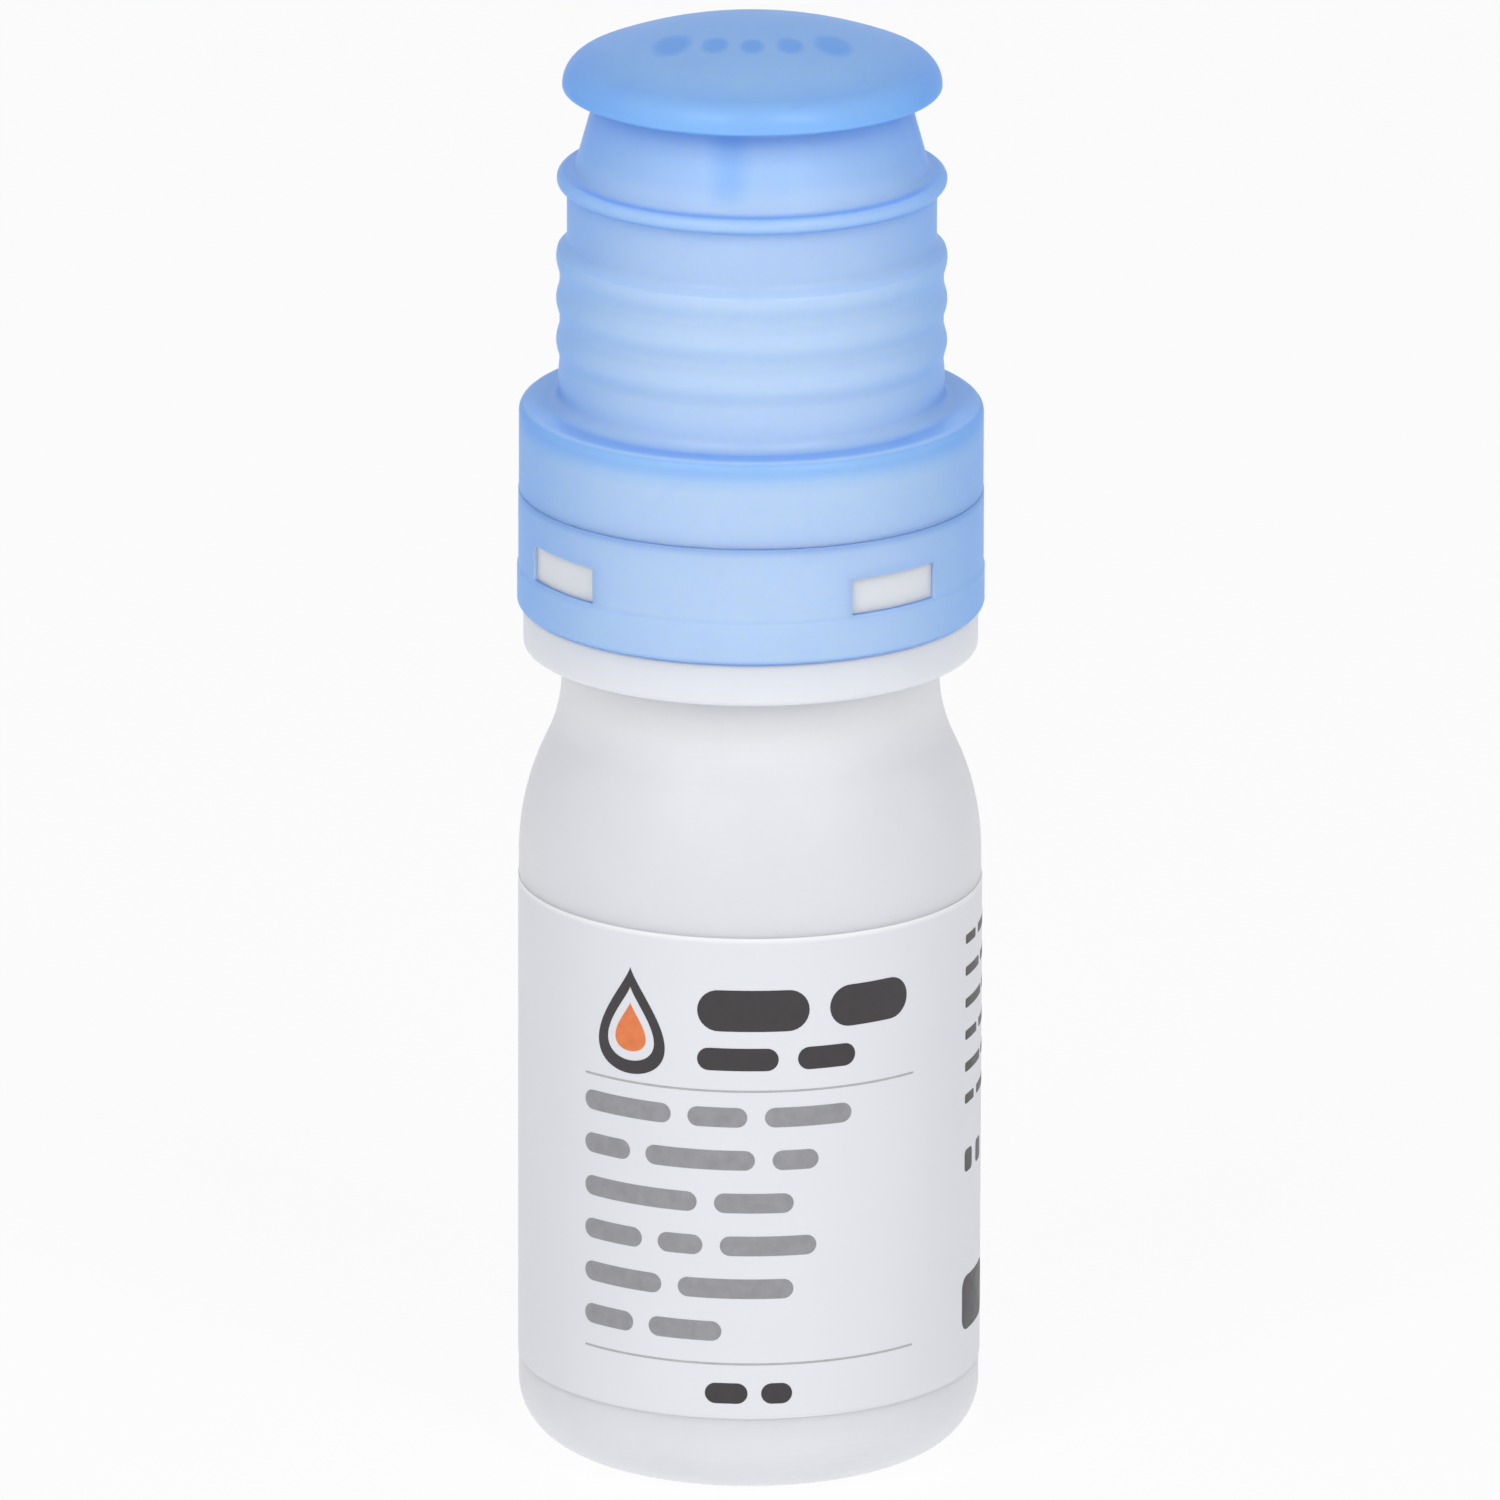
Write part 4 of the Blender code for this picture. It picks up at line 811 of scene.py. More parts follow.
def height_shares(tree, stops):
    """Share that follows the height, between stops of a height and a share."""
    place = tree.node("ShaderNodeTexCoord").outputs["Object"]
    height = tree.node("ShaderNodeSeparateXYZ", {0: place}).outputs[2]
    low, high = stops[0][0], stops[-1][0]
    along = tree.between(height, low, high)
    ramp = tree.node("ShaderNodeValToRGB", {"Fac": along})
    elements = ramp.color_ramp.elements
    while len(elements) < len(stops):
        elements.new(0.5)
    for element, (stop, level) in zip(elements, stops):
        element.position = (stop - low) / (high - low)
        element.color = (level, level, level, 1.0)
    return ramp.outputs["Color"]


def blue_moulding(name, stops, masks=None):
    """Translucent blue plastic: paler where the wall is thin, deeper where it is solid, and painted
    pale where a stop lifts the shade in a crease.
    """
    tones = settings().colours
    material, tree, shader = material_tree(name)
    tone_and_painted_light = height_shares(tree, stops)
    relief = 0.0
    if masks is not None:
        more, relief = masks(tree)
        tone_and_painted_light = tree.maths("MINIMUM", tree.maths("ADD", tone_and_painted_light, more), 1.0)
    base = tree.mix(tone_and_painted_light, (*tones.blue_thin, 1.0), (*tones.blue_thick, 1.0))
    mottled(tree, shader, base, size=0.0035, strength=0.02)
    grained(
        tree, shader, grain=0.00012, depth=0.0000012, roughness=0.33, spread=0.04, relief=relief)
    shader.inputs["Specular IOR Level"].default_value = 0.4
    let_light_in(shader, weight=0.85, radius=(1.0, 0.9, 0.5), scale=0.0014)
    shader.inputs["Coat Weight"].default_value = 1.0
    shader.inputs["Coat IOR"].default_value = 1.12
    shader.inputs["Coat Roughness"].default_value = 0.38
    shader.inputs["Coat Tint"].default_value = (*tones.blue_tint, 1.0)
    return material


def oval_mask(tree, across, along, half_width, half_depth):
    """One inside an oval and nothing outside, from the places counted from its middle."""
    wide = tree.maths("POWER", tree.maths("DIVIDE", across, half_width), 2.0)
    deep = tree.maths("POWER", tree.maths("DIVIDE", along, half_depth), 2.0)
    return tree.between(tree.maths("ADD", wide, deep), 0.45, 1.3, 1.0, 0.0)


def cap_masks(tree):
    """Deeper blue where the inner ribs meet the throat and in the marks on the dome."""
    size = settings().cap
    ridge_top, throat_top = cap_heights(size)[4:]
    place = tree.node("ShaderNodeTexCoord").outputs["Object"]
    x, y, z = tree.node("ShaderNodeSeparateXYZ", {0: place}).outputs
    cos, sin = math.cos(size.rib_angle), math.sin(size.rib_angle)
    first = tree.maths("ADD", tree.maths("MULTIPLY", x, cos), tree.maths("MULTIPLY", y, sin))
    second = tree.maths("SUBTRACT", tree.maths("MULTIPLY", y, cos), tree.maths("MULTIPLY", x, sin))
    nearest = tree.maths(
        "MINIMUM", tree.maths("ABSOLUTE", first), tree.maths("ABSOLUTE", second))
    ribs = tree.between(nearest, size.rib_thickness * 0.3, size.rib_thickness * 1.4, 1.0, 0.0)
    on_throat = tree.maths(
        "MULTIPLY", tree.between(z, ridge_top, ridge_top + size.ridge_height),
        tree.between(z, throat_top - size.ridge_height, throat_top, 1.0, 0.0))
    side = tree.maths("ABSOLUTE", x)
    marks = 0.0
    for middle_x, middle_y, half_width, half_depth in DOME_MARKS:
        mark = oval_mask(
            tree, tree.maths("SUBTRACT", side, middle_x), tree.maths("SUBTRACT", y, middle_y),
            half_width, half_depth)
        marks = tree.maths("MAXIMUM", marks, mark)
    on_dome = tree.between(z, throat_top + size.mushroom_shoulder, CAP_HIGH.z - 0.0009)
    marks = tree.maths("MULTIPLY", marks, on_dome)
    more = tree.maths(
        "ADD", tree.maths("MULTIPLY", tree.maths("MULTIPLY", ribs, on_throat), 0.3),
        tree.maths("MULTIPLY", marks, 0.6))
    return more, tree.maths("MULTIPLY", marks, -size.mark_depth)


def blue_cap_material(name):
    """Blue of the cap, painted pale at the cylinder's foot and just above the ridge to lift the shade
    in those creases.
    """
    foot = CAP_LOW.z
    flange_top, _, band_low, band_top, ridge_top, throat_top = cap_heights(settings().cap)
    ceiling = flange_top - settings().cap.roof
    # Shares follow the wall's thickness, except for painted light: the flange's top with the
    # cylinder's foot, and the crease just above the ridge, are painted pale to lift their shade
    stops = [
        (foot, 0.05), (ceiling - 0.0006, 0.05), (ceiling, 0.35), (ceiling + 0.0004, 0.7),
        (flange_top - 0.00015, 0.78), (flange_top - 0.00005, 0.0), (band_low, 0.0),
        (band_top - 0.0008, 0.15), (band_top, 0.4), (ridge_top - 0.0001, 0.45),
        (ridge_top + 0.0001, 0.0), (ridge_top + 0.0005, 0.1), (ridge_top + 0.0014, 0.4),
        (throat_top - 0.0012, 0.46), (throat_top, 1.0), (throat_top + 0.0014, 0.8),
        (throat_top + 0.0022, 0.4), (CAP_HIGH.z, 0.3)]
    return blue_moulding(name, stops, cap_masks)


def blue_ring_material(name):
    """Blue of the tamper ring."""
    size = settings().ring
    foot_top = RING_LOW.z + size.foot_height
    stops = [
        (RING_LOW.z, 0.5), (RING_LOW.z + 0.0003, 0.12), (foot_top - 0.0003, 0.12),
        (foot_top, 0.2), (foot_top + 0.0003, 0.0), (RING_HIGH.z - 0.0003, 0.05),
        (RING_HIGH.z, 0.5)]
    return blue_moulding(name, stops)


def let_light_in(shader, weight, radius, scale):
    """Light that goes a little way into the plastic, with a reach for each colour."""
    shader.inputs["Subsurface Weight"].default_value = weight
    shader.inputs["Subsurface Radius"].default_value = radius
    shader.inputs["Subsurface Scale"].default_value = scale


def pale_moulding(name, tone, roughness, light_depth, size):
    """Pale plastic with a faint depth."""
    material, tree, shader = material_tree(name)
    mottled(tree, shader, (*tone, 1.0), size, strength=0.012)
    grained(tree, shader, grain=0.00014, depth=0.000003, roughness=roughness, spread=0.04)
    let_light_in(shader, light_depth, radius=(1.0, 0.95, 0.9), scale=0.0016)
    return material


def white_plastic_material(name):
    """White of the pump head."""
    return pale_moulding(
        name, settings().colours.white, roughness=0.42, light_depth=0.5, size=0.003)


def bottle_plastic_material(name):
    """Milky blown plastic of the bottle, painted paler towards the neck, which lifts the shade under
    the pump head's bell.
    """
    tones = settings().colours
    size = settings().bottle
    material, tree, shader = material_tree(name)
    neck = size.body_height + size.shoulder_height
    # Painted light: the paler neck tone comes in towards the neck and lifts the shade under the bell
    tone_and_painted_light = height_shares(tree, [(0.0, 0.0), (neck - 0.003, 0.0), (neck - 0.001, 0.9), (neck, 1.0)])
    tone = tree.mix(tone_and_painted_light, (*tones.milk, 1.0), (*tones.neck, 1.0))
    mottled(tree, shader, tone, size=0.006, strength=0.015)
    grained(tree, shader, grain=0.00014, depth=0.000003, roughness=0.46, spread=0.04)
    let_light_in(shader, weight=0.7, radius=(1.0, 0.95, 0.9), scale=0.002)
    return material


def natural_plastic_material(name):
    """Uncoloured plastic of the inner mouldings."""
    return pale_moulding(
        name, settings().colours.natural, roughness=0.36, light_depth=0.4, size=0.002)


def label_film_material(name):
    """Satin face of the label film, with a painted highlight in a thin strip along its top edge."""
    material, tree, shader = material_tree(name)
    tones = settings().colours
    # Painted highlight: share of the paler edge tone in the top 0.3 mm of the film
    edge = height_shares(
        tree, [(LABEL_LOW.z, 0.0), (LABEL_HIGH.z - 0.0003, 0.0), (LABEL_HIGH.z - 0.0001, 1.0),
               (LABEL_HIGH.z, 1.0)])
    tone = tree.mix(edge, (*tones.film, 1.0), (*tones.film_edge_highlight, 1.0))
    mottled(tree, shader, tone, size=0.004, strength=0.008)
    grained(tree, shader, grain=0.00008, depth=0.0000012, roughness=0.5, spread=0.03)
    return material


def ink(name, tone):
    """Printed ink, a little uneven."""
    material, tree, shader = material_tree(name)
    mottled(tree, shader, (*tone, 1.0), size=0.0006, strength=0.08)
    grained(tree, shader, grain=0.00006, depth=0.000001, roughness=0.45, spread=0.05)
    return material


def charcoal_ink_material(name):
    """Heavy print."""
    return ink(name, settings().colours.charcoal)


def grey_ink_material(name):
    """Light print."""
    return ink(name, settings().colours.grey)


def rule_ink_material(name):
    """Thin rules."""
    return ink(name, settings().colours.rule)


def orange_ink_material(name):
    """Accent print."""
    return ink(name, settings().colours.orange)


def rubber_material(name):
    """Soft seal rubber."""
    material, tree, shader = material_tree(name)
    tone = (*settings().colours.rubber, 1.0)
    mottled(tree, shader, tone, size=0.0008, strength=0.06)
    grained(tree, shader, grain=0.00009, depth=0.000004, roughness=0.7, spread=0.06)
    return material


def steel_material(name):
    """Drawn steel wire."""
    material, tree, shader = material_tree(name)
    tone = (*settings().colours.steel, 1.0)
    mottled(tree, shader, tone, size=0.0005, strength=0.05)
    grained(tree, shader, grain=0.00005, depth=0.0000008, roughness=0.24, spread=0.06)
    shader.inputs["Metallic"].default_value = 1.0
    return material


def filter_material(name):
    """Porous membrane."""
    material, tree, shader = material_tree(name)
    tone = (*settings().colours.filter, 1.0)
    mottled(tree, shader, tone, size=0.0002, strength=0.1)
    grained(tree, shader, grain=0.00004, depth=0.00001, roughness=0.9, spread=0.05)
    return material


# Pieces
def settled(piece, body, slot_name, *nodes):
    """Tie a finished piece to its body and hide the solids that it stands for; the finish's slot name
    is not used.
    """
    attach(piece, body)
    if nodes:
        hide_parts(*nodes)
    return piece


def shoulder(size, wall):
    """Ogee from neck to body as two arcs that meet at one slope, drawn in by a wall."""
    body_radius = BOTTLE_HIGH.x
    top = size.body_height + size.shoulder_height
    slope = 2 * math.atan2(body_radius - size.neck_radius, size.shoulder_height)
    both_rounds = size.shoulder_height / math.sin(slope)
    round_out = both_rounds * size.shoulder_share
    round_in = both_rounds - round_out
    degrees = math.degrees(slope)
    upper = arc((size.neck_radius + round_in, top), round_in + wall, 180, 180 + degrees, 8)
    lower = arc((body_radius - round_out, size.body_height), round_out - wall, degrees, 0, 16)
    return upper + lower[1:]


def bottle_corners(size):
    """Outline of the bottle, up the inside and down the outside."""
    body_radius = BOTTLE_HIGH.x
    finish_top = BOTTLE_HIGH.z
    ledge = size.body_height + size.shoulder_height + size.neck_height
    bore = size.finish_radius - size.finish_wall
    bead_radius = size.finish_radius + size.finish_bead
    bead_low = ledge + size.bead_rise
    bead_high = bead_low + size.bead_height
    foot_centre = (body_radius - size.foot_round, size.foot_round)
    floor = size.wall
    recess_edge = size.recess_radius + size.recess_depth
    edge = size.edge_round
    inside = [(0.0, size.recess_depth + floor), (size.recess_radius, size.recess_depth + floor, edge)]
    inside += [(recess_edge, floor, edge)]
    inside += arc(foot_centre, size.foot_round - size.wall, -90, 0, 8)
    inside += list(reversed(shoulder(size, size.wall)))
    inside += [(size.neck_radius - size.wall, ledge - size.wall, edge), (bore, ledge - size.wall)]
    outside = [
        (bore, finish_top, edge),
        (size.finish_radius, finish_top, edge),
        (size.finish_radius, bead_high + size.finish_bead),
        (bead_radius, bead_high, edge),
        (bead_radius, bead_low, edge),
        (size.finish_radius, bead_low - size.finish_bead),
        (size.finish_radius, ledge),
        (size.neck_radius, ledge, edge)]
    outside += shoulder(size, 0.0)
    outside += arc(foot_centre, size.foot_round, 0, -90, 14)
    outside += [
        (recess_edge, 0.0, edge), (size.recess_radius, size.recess_depth, edge),
        (0.0, size.recess_depth)]
    return inside + outside


class MakeBottle(bpy.types.Operator):
    """Blown bottle with its shoulder, finish and base recess"""
    bl_idname = "eyedrops.bottle"
    bl_label = "Bottle"

    def execute(self, context):
        corners = bottle_corners(settings().bottle)
        bottle = turned_piece("bottle_shell", corners, known_material(bottle_plastic_material))
        settled(bottle, "bottle", "bottle_plastic", "bottle")
        return {"FINISHED"}


def flat_sheet(name, left, right, low, high, corner, columns):
    """Flat sheet in the XZ plane with rounded corners, cut into upright strips."""
    points = []
    for column in range(columns + 1):
        along = left + (right - left) * column / columns
        points.append((along, corner_drop(along, left, right, corner)))
    for side, sign in ((left, 1), (right, -1)):
        for step in range(6):
            along = side + sign * corner * (1 - math.cos(math.radians(15 * step)))
            points.append((along, corner_drop(along, left, right, corner)))
    points = sorted(set(points))
    places = []
    for along, drop in points:
        places += [(along, 0.0, low + drop), (along, 0.0, high - drop)]
    faces = []
    for index in range(0, len(places) - 2, 2):
        faces.append((index, index + 2, index + 3, index + 1))
    return new_object(name, places, faces)


def corner_drop(along, left, right, corner):
    """How far a rounded corner takes a sheet's edge in."""
    inside = min(along - left, right - along)
    if corner == 0.0 or inside >= corner:
        return 0.0
    return corner - math.sqrt(max(0.0, corner ** 2 - (corner - inside) ** 2))


def wrapped_sheet(name, sheet_corners, corner, radius, thickness, material, columns=240):
    """Thin film round the bottle between two places along it and two heights."""
    left, right, low, high = sheet_corners
    sheet = flat_sheet(name, left, right, low, high, corner, columns)
    values = {"Radius": radius, "Thickness": thickness}
    return smoothed(through_tree(sheet, shared_tree(wrapping_tree), material, values))


class MakeLabel(bpy.types.Operator):
    """Label film wrapped round the body, and its front ply"""
    bl_idname = "eyedrops.label"
    bl_label = "Label"

    def execute(self, context):
        size = settings().label
        material = known_material(label_film_material)
        inner = BOTTLE_HIGH.x + size.gap
        start = size.seam * inner + size.seam_gap / 2
        end = (size.seam + 2 * math.pi) * inner - size.seam_gap / 2
        film = wrapped_sheet(
            "label_film", (start, end, LABEL_LOW.z, LABEL_HIGH.z), 0.0, inner, size.film, material)
        settled(film, "bottle", "label_film", "label")
        ply_radius = inner + size.film
        ply = wrapped_sheet(
            "label_front_ply",
            (size.ply_start * ply_radius, size.ply_end * ply_radius,
             LABEL_LOW.z + size.ply_inset, LABEL_HIGH.z - size.ply_inset),
            size.corner, ply_radius, size.ply, material)
        settled(ply, "bottle", "label_film")
        return {"FINISHED"}


def ink_radius():
    """Radius of the face that the ink is printed on."""
    size = settings().label
    return BOTTLE_HIGH.x + size.gap + size.film + size.ply


def word_row(left, height, widths, space, bar_height):
    """Bars of one line of stand-in words, from its left end."""
    bars = []
    place = left
    for width in widths:
        bars.append((place + width / 2, height, width, bar_height))
        place += width + space
    return bars


def word_lines(left, highest, pitch, lines, space, bar_height):
    """Bars of a block of stand-in lines, from its upper left corner."""
    bars = []
    for number, widths in enumerate(lines):
        bars += word_row(left, highest - number * pitch, widths, space, bar_height)
    return bars


def drop_point(turn, size):
    """Point of a drop's outline: round below, pointed on top."""
    reach = math.sin(turn / 2)
    return (-math.sin(turn) * reach ** 1.6 * size * 0.62, math.cos(turn) * size * 0.62)


def drop_ring(name, centre, outer, inner, lift, levels=4, steps=72):
    """Flat drop, or the band between two drops of different size."""
    points = []
    for level in range(levels + 1):
        size = outer + (inner - outer) * level / levels
        for step in range(steps):
            across, up = drop_point(2 * math.pi * step / steps, size)
            points.append((centre[0] + across, 0.0, centre[1] + up - (outer - size) * lift))
    faces = []
    for level in range(levels):
        for step in range(steps):
            ahead = (step + 1) % steps
            low = level * steps
            high = low + steps
            faces.append((low + step, low + ahead, high + ahead, high + step))
    return new_object(name, points, faces)


class MakePrint(bpy.types.Operator):
    """Stand-in print on the label: bars for words, thin rules and a plain drop"""
    bl_idname = "eyedrops.print"
    bl_label = "Print"

    def execute(self, context):
        radius = ink_radius()
        thickness = settings().label.ink
        size = settings().print_sizes
        foot = LABEL_LOW.z
        title = word_row(
            size.title_left, foot + size.title_rise, TITLE_WORDS, size.title_space,
            size.title_height)
        title += word_row(
            size.title_left, foot + size.subtitle_rise, SUBTITLE_WORDS, size.subtitle_space,
            size.subtitle_height)
        title += word_row(
            size.foot_left, foot + size.foot_rise, FOOT_WORDS, size.foot_space, size.foot_height)
        body = word_lines(
            size.text_left, foot + size.text_rise, size.text_pitch, TEXT_LINES, size.text_space,
            size.text_height)
        rules = [
            (0.0, foot + height, size.rule_width, size.rule_height)
            for height in (size.upper_rule, size.lower_rule)]
        settled(
            bars_piece(
                "print_heavy", title, radius, thickness, known_material(charcoal_ink_material)),
            "bottle", "label_film")
        settled(
            bars_piece("print_light", body, radius, thickness, known_material(grey_ink_material)),
            "bottle", "label_film")
        settled(
            bars_piece(
                "print_rules", rules, radius, thickness, known_material(rule_ink_material),
                columns=64),
            "bottle", "label_film")
        self.drop(size, radius, thickness)
        self.side_panel(size, radius, thickness)
        return {"FINISHED"}

    def drop(self, size, radius, thickness):
        """Drop outline with an accent in it."""
        values = {"Radius": radius, "Thickness": thickness}
        centre = (size.drop_place, LABEL_LOW.z + size.drop_rise)
        outline = drop_ring(
            "print_drop", centre, size.drop_outside, size.drop_inside, size.drop_shift)
        charcoal = known_material(charcoal_ink_material)
        through_tree(outline, shared_tree(wrapping_tree), charcoal, values)
        settled(smoothed(outline), "bottle", "label_film")
        centre = (centre[0], centre[1] - size.accent_shift)
        accent = drop_ring("print_accent", centre, size.accent_size, 0.00001, 0.0)
        orange = known_material(orange_ink_material)
        through_tree(accent, shared_tree(wrapping_tree), orange, values)
        settled(smoothed(accent), "bottle", "label_film")

    def side_panel(self, size, radius, thickness):
        """Small print on the right-hand side."""
        foot = LABEL_LOW.z
        bars = word_lines(
            size.side_left, foot + size.side_rise, size.side_pitch, SIDE_LINES, size.side_space,
            size.side_height)
        bars += word_row(
            size.side_left, foot + size.sign_rise, (size.sign_width, size.sign_width),
            size.sign_space, size.sign_height)
        bars.append(
            (size.block_place, foot + size.block_rise, size.block_width, size.block_height))
        settled(
            bars_piece(
                "print_side", bars, radius, thickness, known_material(charcoal_ink_material),
                round_share=0.45),
            "bottle", "label_film")


def head_corners(size):
    """Outline of the white pump head, down its outside from the tip's socket."""
    foot = HEAD_LOW.z
    roof_top = foot + size.ceiling_rise + size.roof
    housing_top = roof_top + size.housing_height
    bell_top = foot + size.bell_height
    bell_radius = HEAD_HIGH.x
    snap_top = foot + size.snap_rise
    snap_low = snap_top - size.snap_height
    snap_radius = size.skirt_bore - size.snap_depth
    ceiling = foot + size.ceiling_rise
    chamber = housing_top - size.chamber_drop
    socket = chamber + size.chamber_height
    spring = housing_top - size.spring_drop
    edge = size.edge_round
    return [
        (size.socket_radius, HEAD_HIGH.z, edge / 2),
        (size.nose_radius, HEAD_HIGH.z, edge),
        (size.housing_radius - size.housing_round, housing_top + size.housing_round, edge * 2),
        (size.housing_radius, housing_top, size.housing_round),
        (size.housing_radius, roof_top, edge),
        (size.skirt_radius, roof_top, edge * 2),
        (size.skirt_radius, bell_top),
        (bell_radius, bell_top, edge),
        (bell_radius, foot, size.bell_round),
        (size.bell_bore, foot, edge),
        (size.bell_bore, snap_low - size.snap_lead, edge),
        (snap_radius, snap_low, edge / 2),
        (snap_radius, snap_top, edge / 2),
        (size.skirt_bore, snap_top),
        (size.skirt_bore, ceiling, edge),
        (size.housing_radius - size.housing_wall, ceiling, edge),
        (size.housing_radius - size.housing_wall, spring, edge),
        (size.stem_radius, spring, edge),
        (size.stem_radius, foot + size.stem_rise, edge / 2),
        (size.stem_bore, foot + size.stem_rise),
        (size.stem_bore, chamber),
        (size.chamber_radius, chamber),
        (size.chamber_radius, socket),
        (size.socket_radius, socket)]


def window_bars(size, radius, room):
    """Windows as bars on a radius, drawn in by some room."""
    middle = RING_LOW.z + size.window_rise + size.window_height / 2
    bars = []
    for turn in (size.first_window, size.next_window):
        for half in (0.0, math.pi):
            bars.append((
                (turn + half) * radius, middle, size.window_angle * radius - 2 * room,
                size.window_height - 2 * room))
    return bars


class MakeHead(bpy.types.Operator):
    """White pump head with its finger collar, and the lugs in the ring's windows"""
    bl_idname = "eyedrops.head"
    bl_label = "Pump head"

    def execute(self, context):
        size = settings().head
        material = known_material(white_plastic_material)
        head = turned_piece("pump_head", head_corners(size), material)
        settled(head, "applicator", "white_plastic", "applicator")
        ring = settings().ring
        reach = ring.radius - size.lug_setback - size.skirt_radius
        lugs = bars_piece(
            "window_lugs", window_bars(ring, size.skirt_radius, size.lug_room), size.skirt_radius,
            reach, material, round_share=0.1)
        settled(lugs, "applicator", "white_plastic")
        return {"FINISHED"}


def ring_corners(size):
    """Outline of the tamper ring before its windows are cut."""
    foot_top = RING_LOW.z + size.foot_height
    foot_radius = size.radius + size.foot_bulge
    edge = size.edge_round
    top = CAP_LOW.z - size.seam
    return [
        (size.bore, top, edge / 3),
        (size.radius, top, size.seam_round),
        (size.radius, foot_top, edge / 4),
        (foot_radius, foot_top - edge / 2, edge / 4),
        (foot_radius, RING_LOW.z, edge),
        (size.bore, RING_LOW.z, edge / 3)]


class MakeRing(bpy.types.Operator):
    """Tamper ring with its four windows"""
    bl_idname = "eyedrops.ring"
    bl_label = "Tamper ring"

    def execute(self, context):
        size = settings().ring
        material = known_material(blue_ring_material)
        ring = turned_piece("tamper_band", ring_corners(size), material)
        depth = size.radius - size.bore
        cutter = bars_piece(
            "window_cutter", window_bars(size, size.bore - depth / 2, 0.0), size.bore - depth / 2,
            2 * depth, material, size.corner_share, columns=32)
        applied(ring, "BOOLEAN", object=cutter, operation="DIFFERENCE", solver="EXACT")
        bpy.data.objects.remove(cutter, do_unlink=True)
        smoothed(ring)
        settled(ring, "applicator", "blue_plastic", "tamper_ring")
        return {"FINISHED"}


def cap_heights(size):
    """Heights up the cap: flange, lowest bead, band's foot and top, ridge's top, throat's top."""
    flange_top = CAP_LOW.z + size.flange_height
    bead = flange_top + size.grip_rise
    band_low = bead + (size.grip_beads - 1) * size.grip_pitch + size.band_foot
    band_top = band_low + size.band_height
    ridge_top = band_top + size.ridge_height
    return flange_top, bead, band_low, band_top, ridge_top, ridge_top + size.throat_height


def grip_points(size, lowest):
    """Grip beads down the side, each one a soft wave on the plain side."""
    steps = 14
    points = []
    for number in reversed(range(size.grip_beads)):
        middle = lowest + number * size.grip_pitch
        for step in range(steps + 1):
            out = size.grip_depth * math.sin(math.pi * step / steps) ** 2
            height = middle + (0.5 - step / steps) * size.grip_height
            points.append((size.cylinder_radius + out, height))
    return points


def mushroom_points(size, throat_top):
    """Low dome, the round shoulder that it runs into and the edge under it."""
    rim = throat_top + size.mushroom_edge
    across = size.mushroom_radius - size.mushroom_shoulder
    between = size.dome_round - size.mushroom_shoulder
    turn = math.degrees(math.asin(across / between))
    centre = rim - math.sqrt(between ** 2 - across ** 2)
    dome = arc((0.0, centre), size.dome_round, 90, 90 - turn, 16)
    dome[0] = (0.0, centre + size.dome_round)
    side = arc((across, rim), size.mushroom_shoulder, 90 - turn, 0, 12)
    edge_middle = (size.mushroom_radius - size.mushroom_edge, rim)
    edge = arc(edge_middle, size.mushroom_edge, 0, -90, 6)
    return dome + side[1:] + edge[1:]


def cap_corners(size):
    """Outline of the cap, from the dome down its side and up its inside."""
    foot = CAP_LOW.z
    flange_top, bead, band_low, band_top, ridge_top, throat_top = cap_heights(size)
    ridge_round = size.ridge_height / 2
    band_radius = size.cylinder_radius - size.band_depth
    ridge_centre = (band_radius + size.ridge_depth - ridge_round, band_top + ridge_round)
    ceiling = flange_top - size.roof
    top_inside = SEAL_HIGH.z + size.seal_gap
    seam_round = settings().ring.seam_round
    edge = size.flange_round
    corners = mushroom_points(size, throat_top)
    corners += [
        (size.throat_top, throat_top, edge),
        (size.throat_foot, ridge_top, edge)]
    corners += arc(ridge_centre, ridge_round, 75, -75, 16)
    corners += [
        (band_radius, band_top, edge / 2),
        (band_radius, band_low + size.band_depth, edge)]
    corners += [point for point in grip_points(size, bead) if point[1] < band_low - EDGE_HOLD]
    corners += [
        (size.cylinder_radius + size.foot_spread, bead - size.grip_height, edge),
        (size.cylinder_radius + size.foot_spread, flange_top, size.foot_fillet),
        (size.flange_radius, flange_top, edge),
        (size.flange_radius, foot, seam_round),
        (size.flange_bore, foot, seam_round),
        (size.flange_bore, ceiling, edge / 2),
        (size.cylinder_bore - size.hold_bead, ceiling, edge / 2),
        (size.cylinder_bore - size.hold_bead, ceiling + size.hold_height, edge / 2),
        (size.cylinder_bore, ceiling + size.hold_height + size.hold_bead, edge / 2),
        (size.cylinder_bore, band_top, edge),
        (size.throat_foot - size.throat_wall, ridge_top, edge),
        (size.throat_top - size.throat_wall, top_inside, edge),
        (size.boss_bore + size.boss_wall, top_inside, edge / 2),
        (size.boss_bore + size.boss_wall, top_inside - size.boss_height, edge / 3),
        (size.boss_bore, top_inside - size.boss_height, edge / 3),
        (size.boss_bore, top_inside),
        (0.0, top_inside)]
    return corners


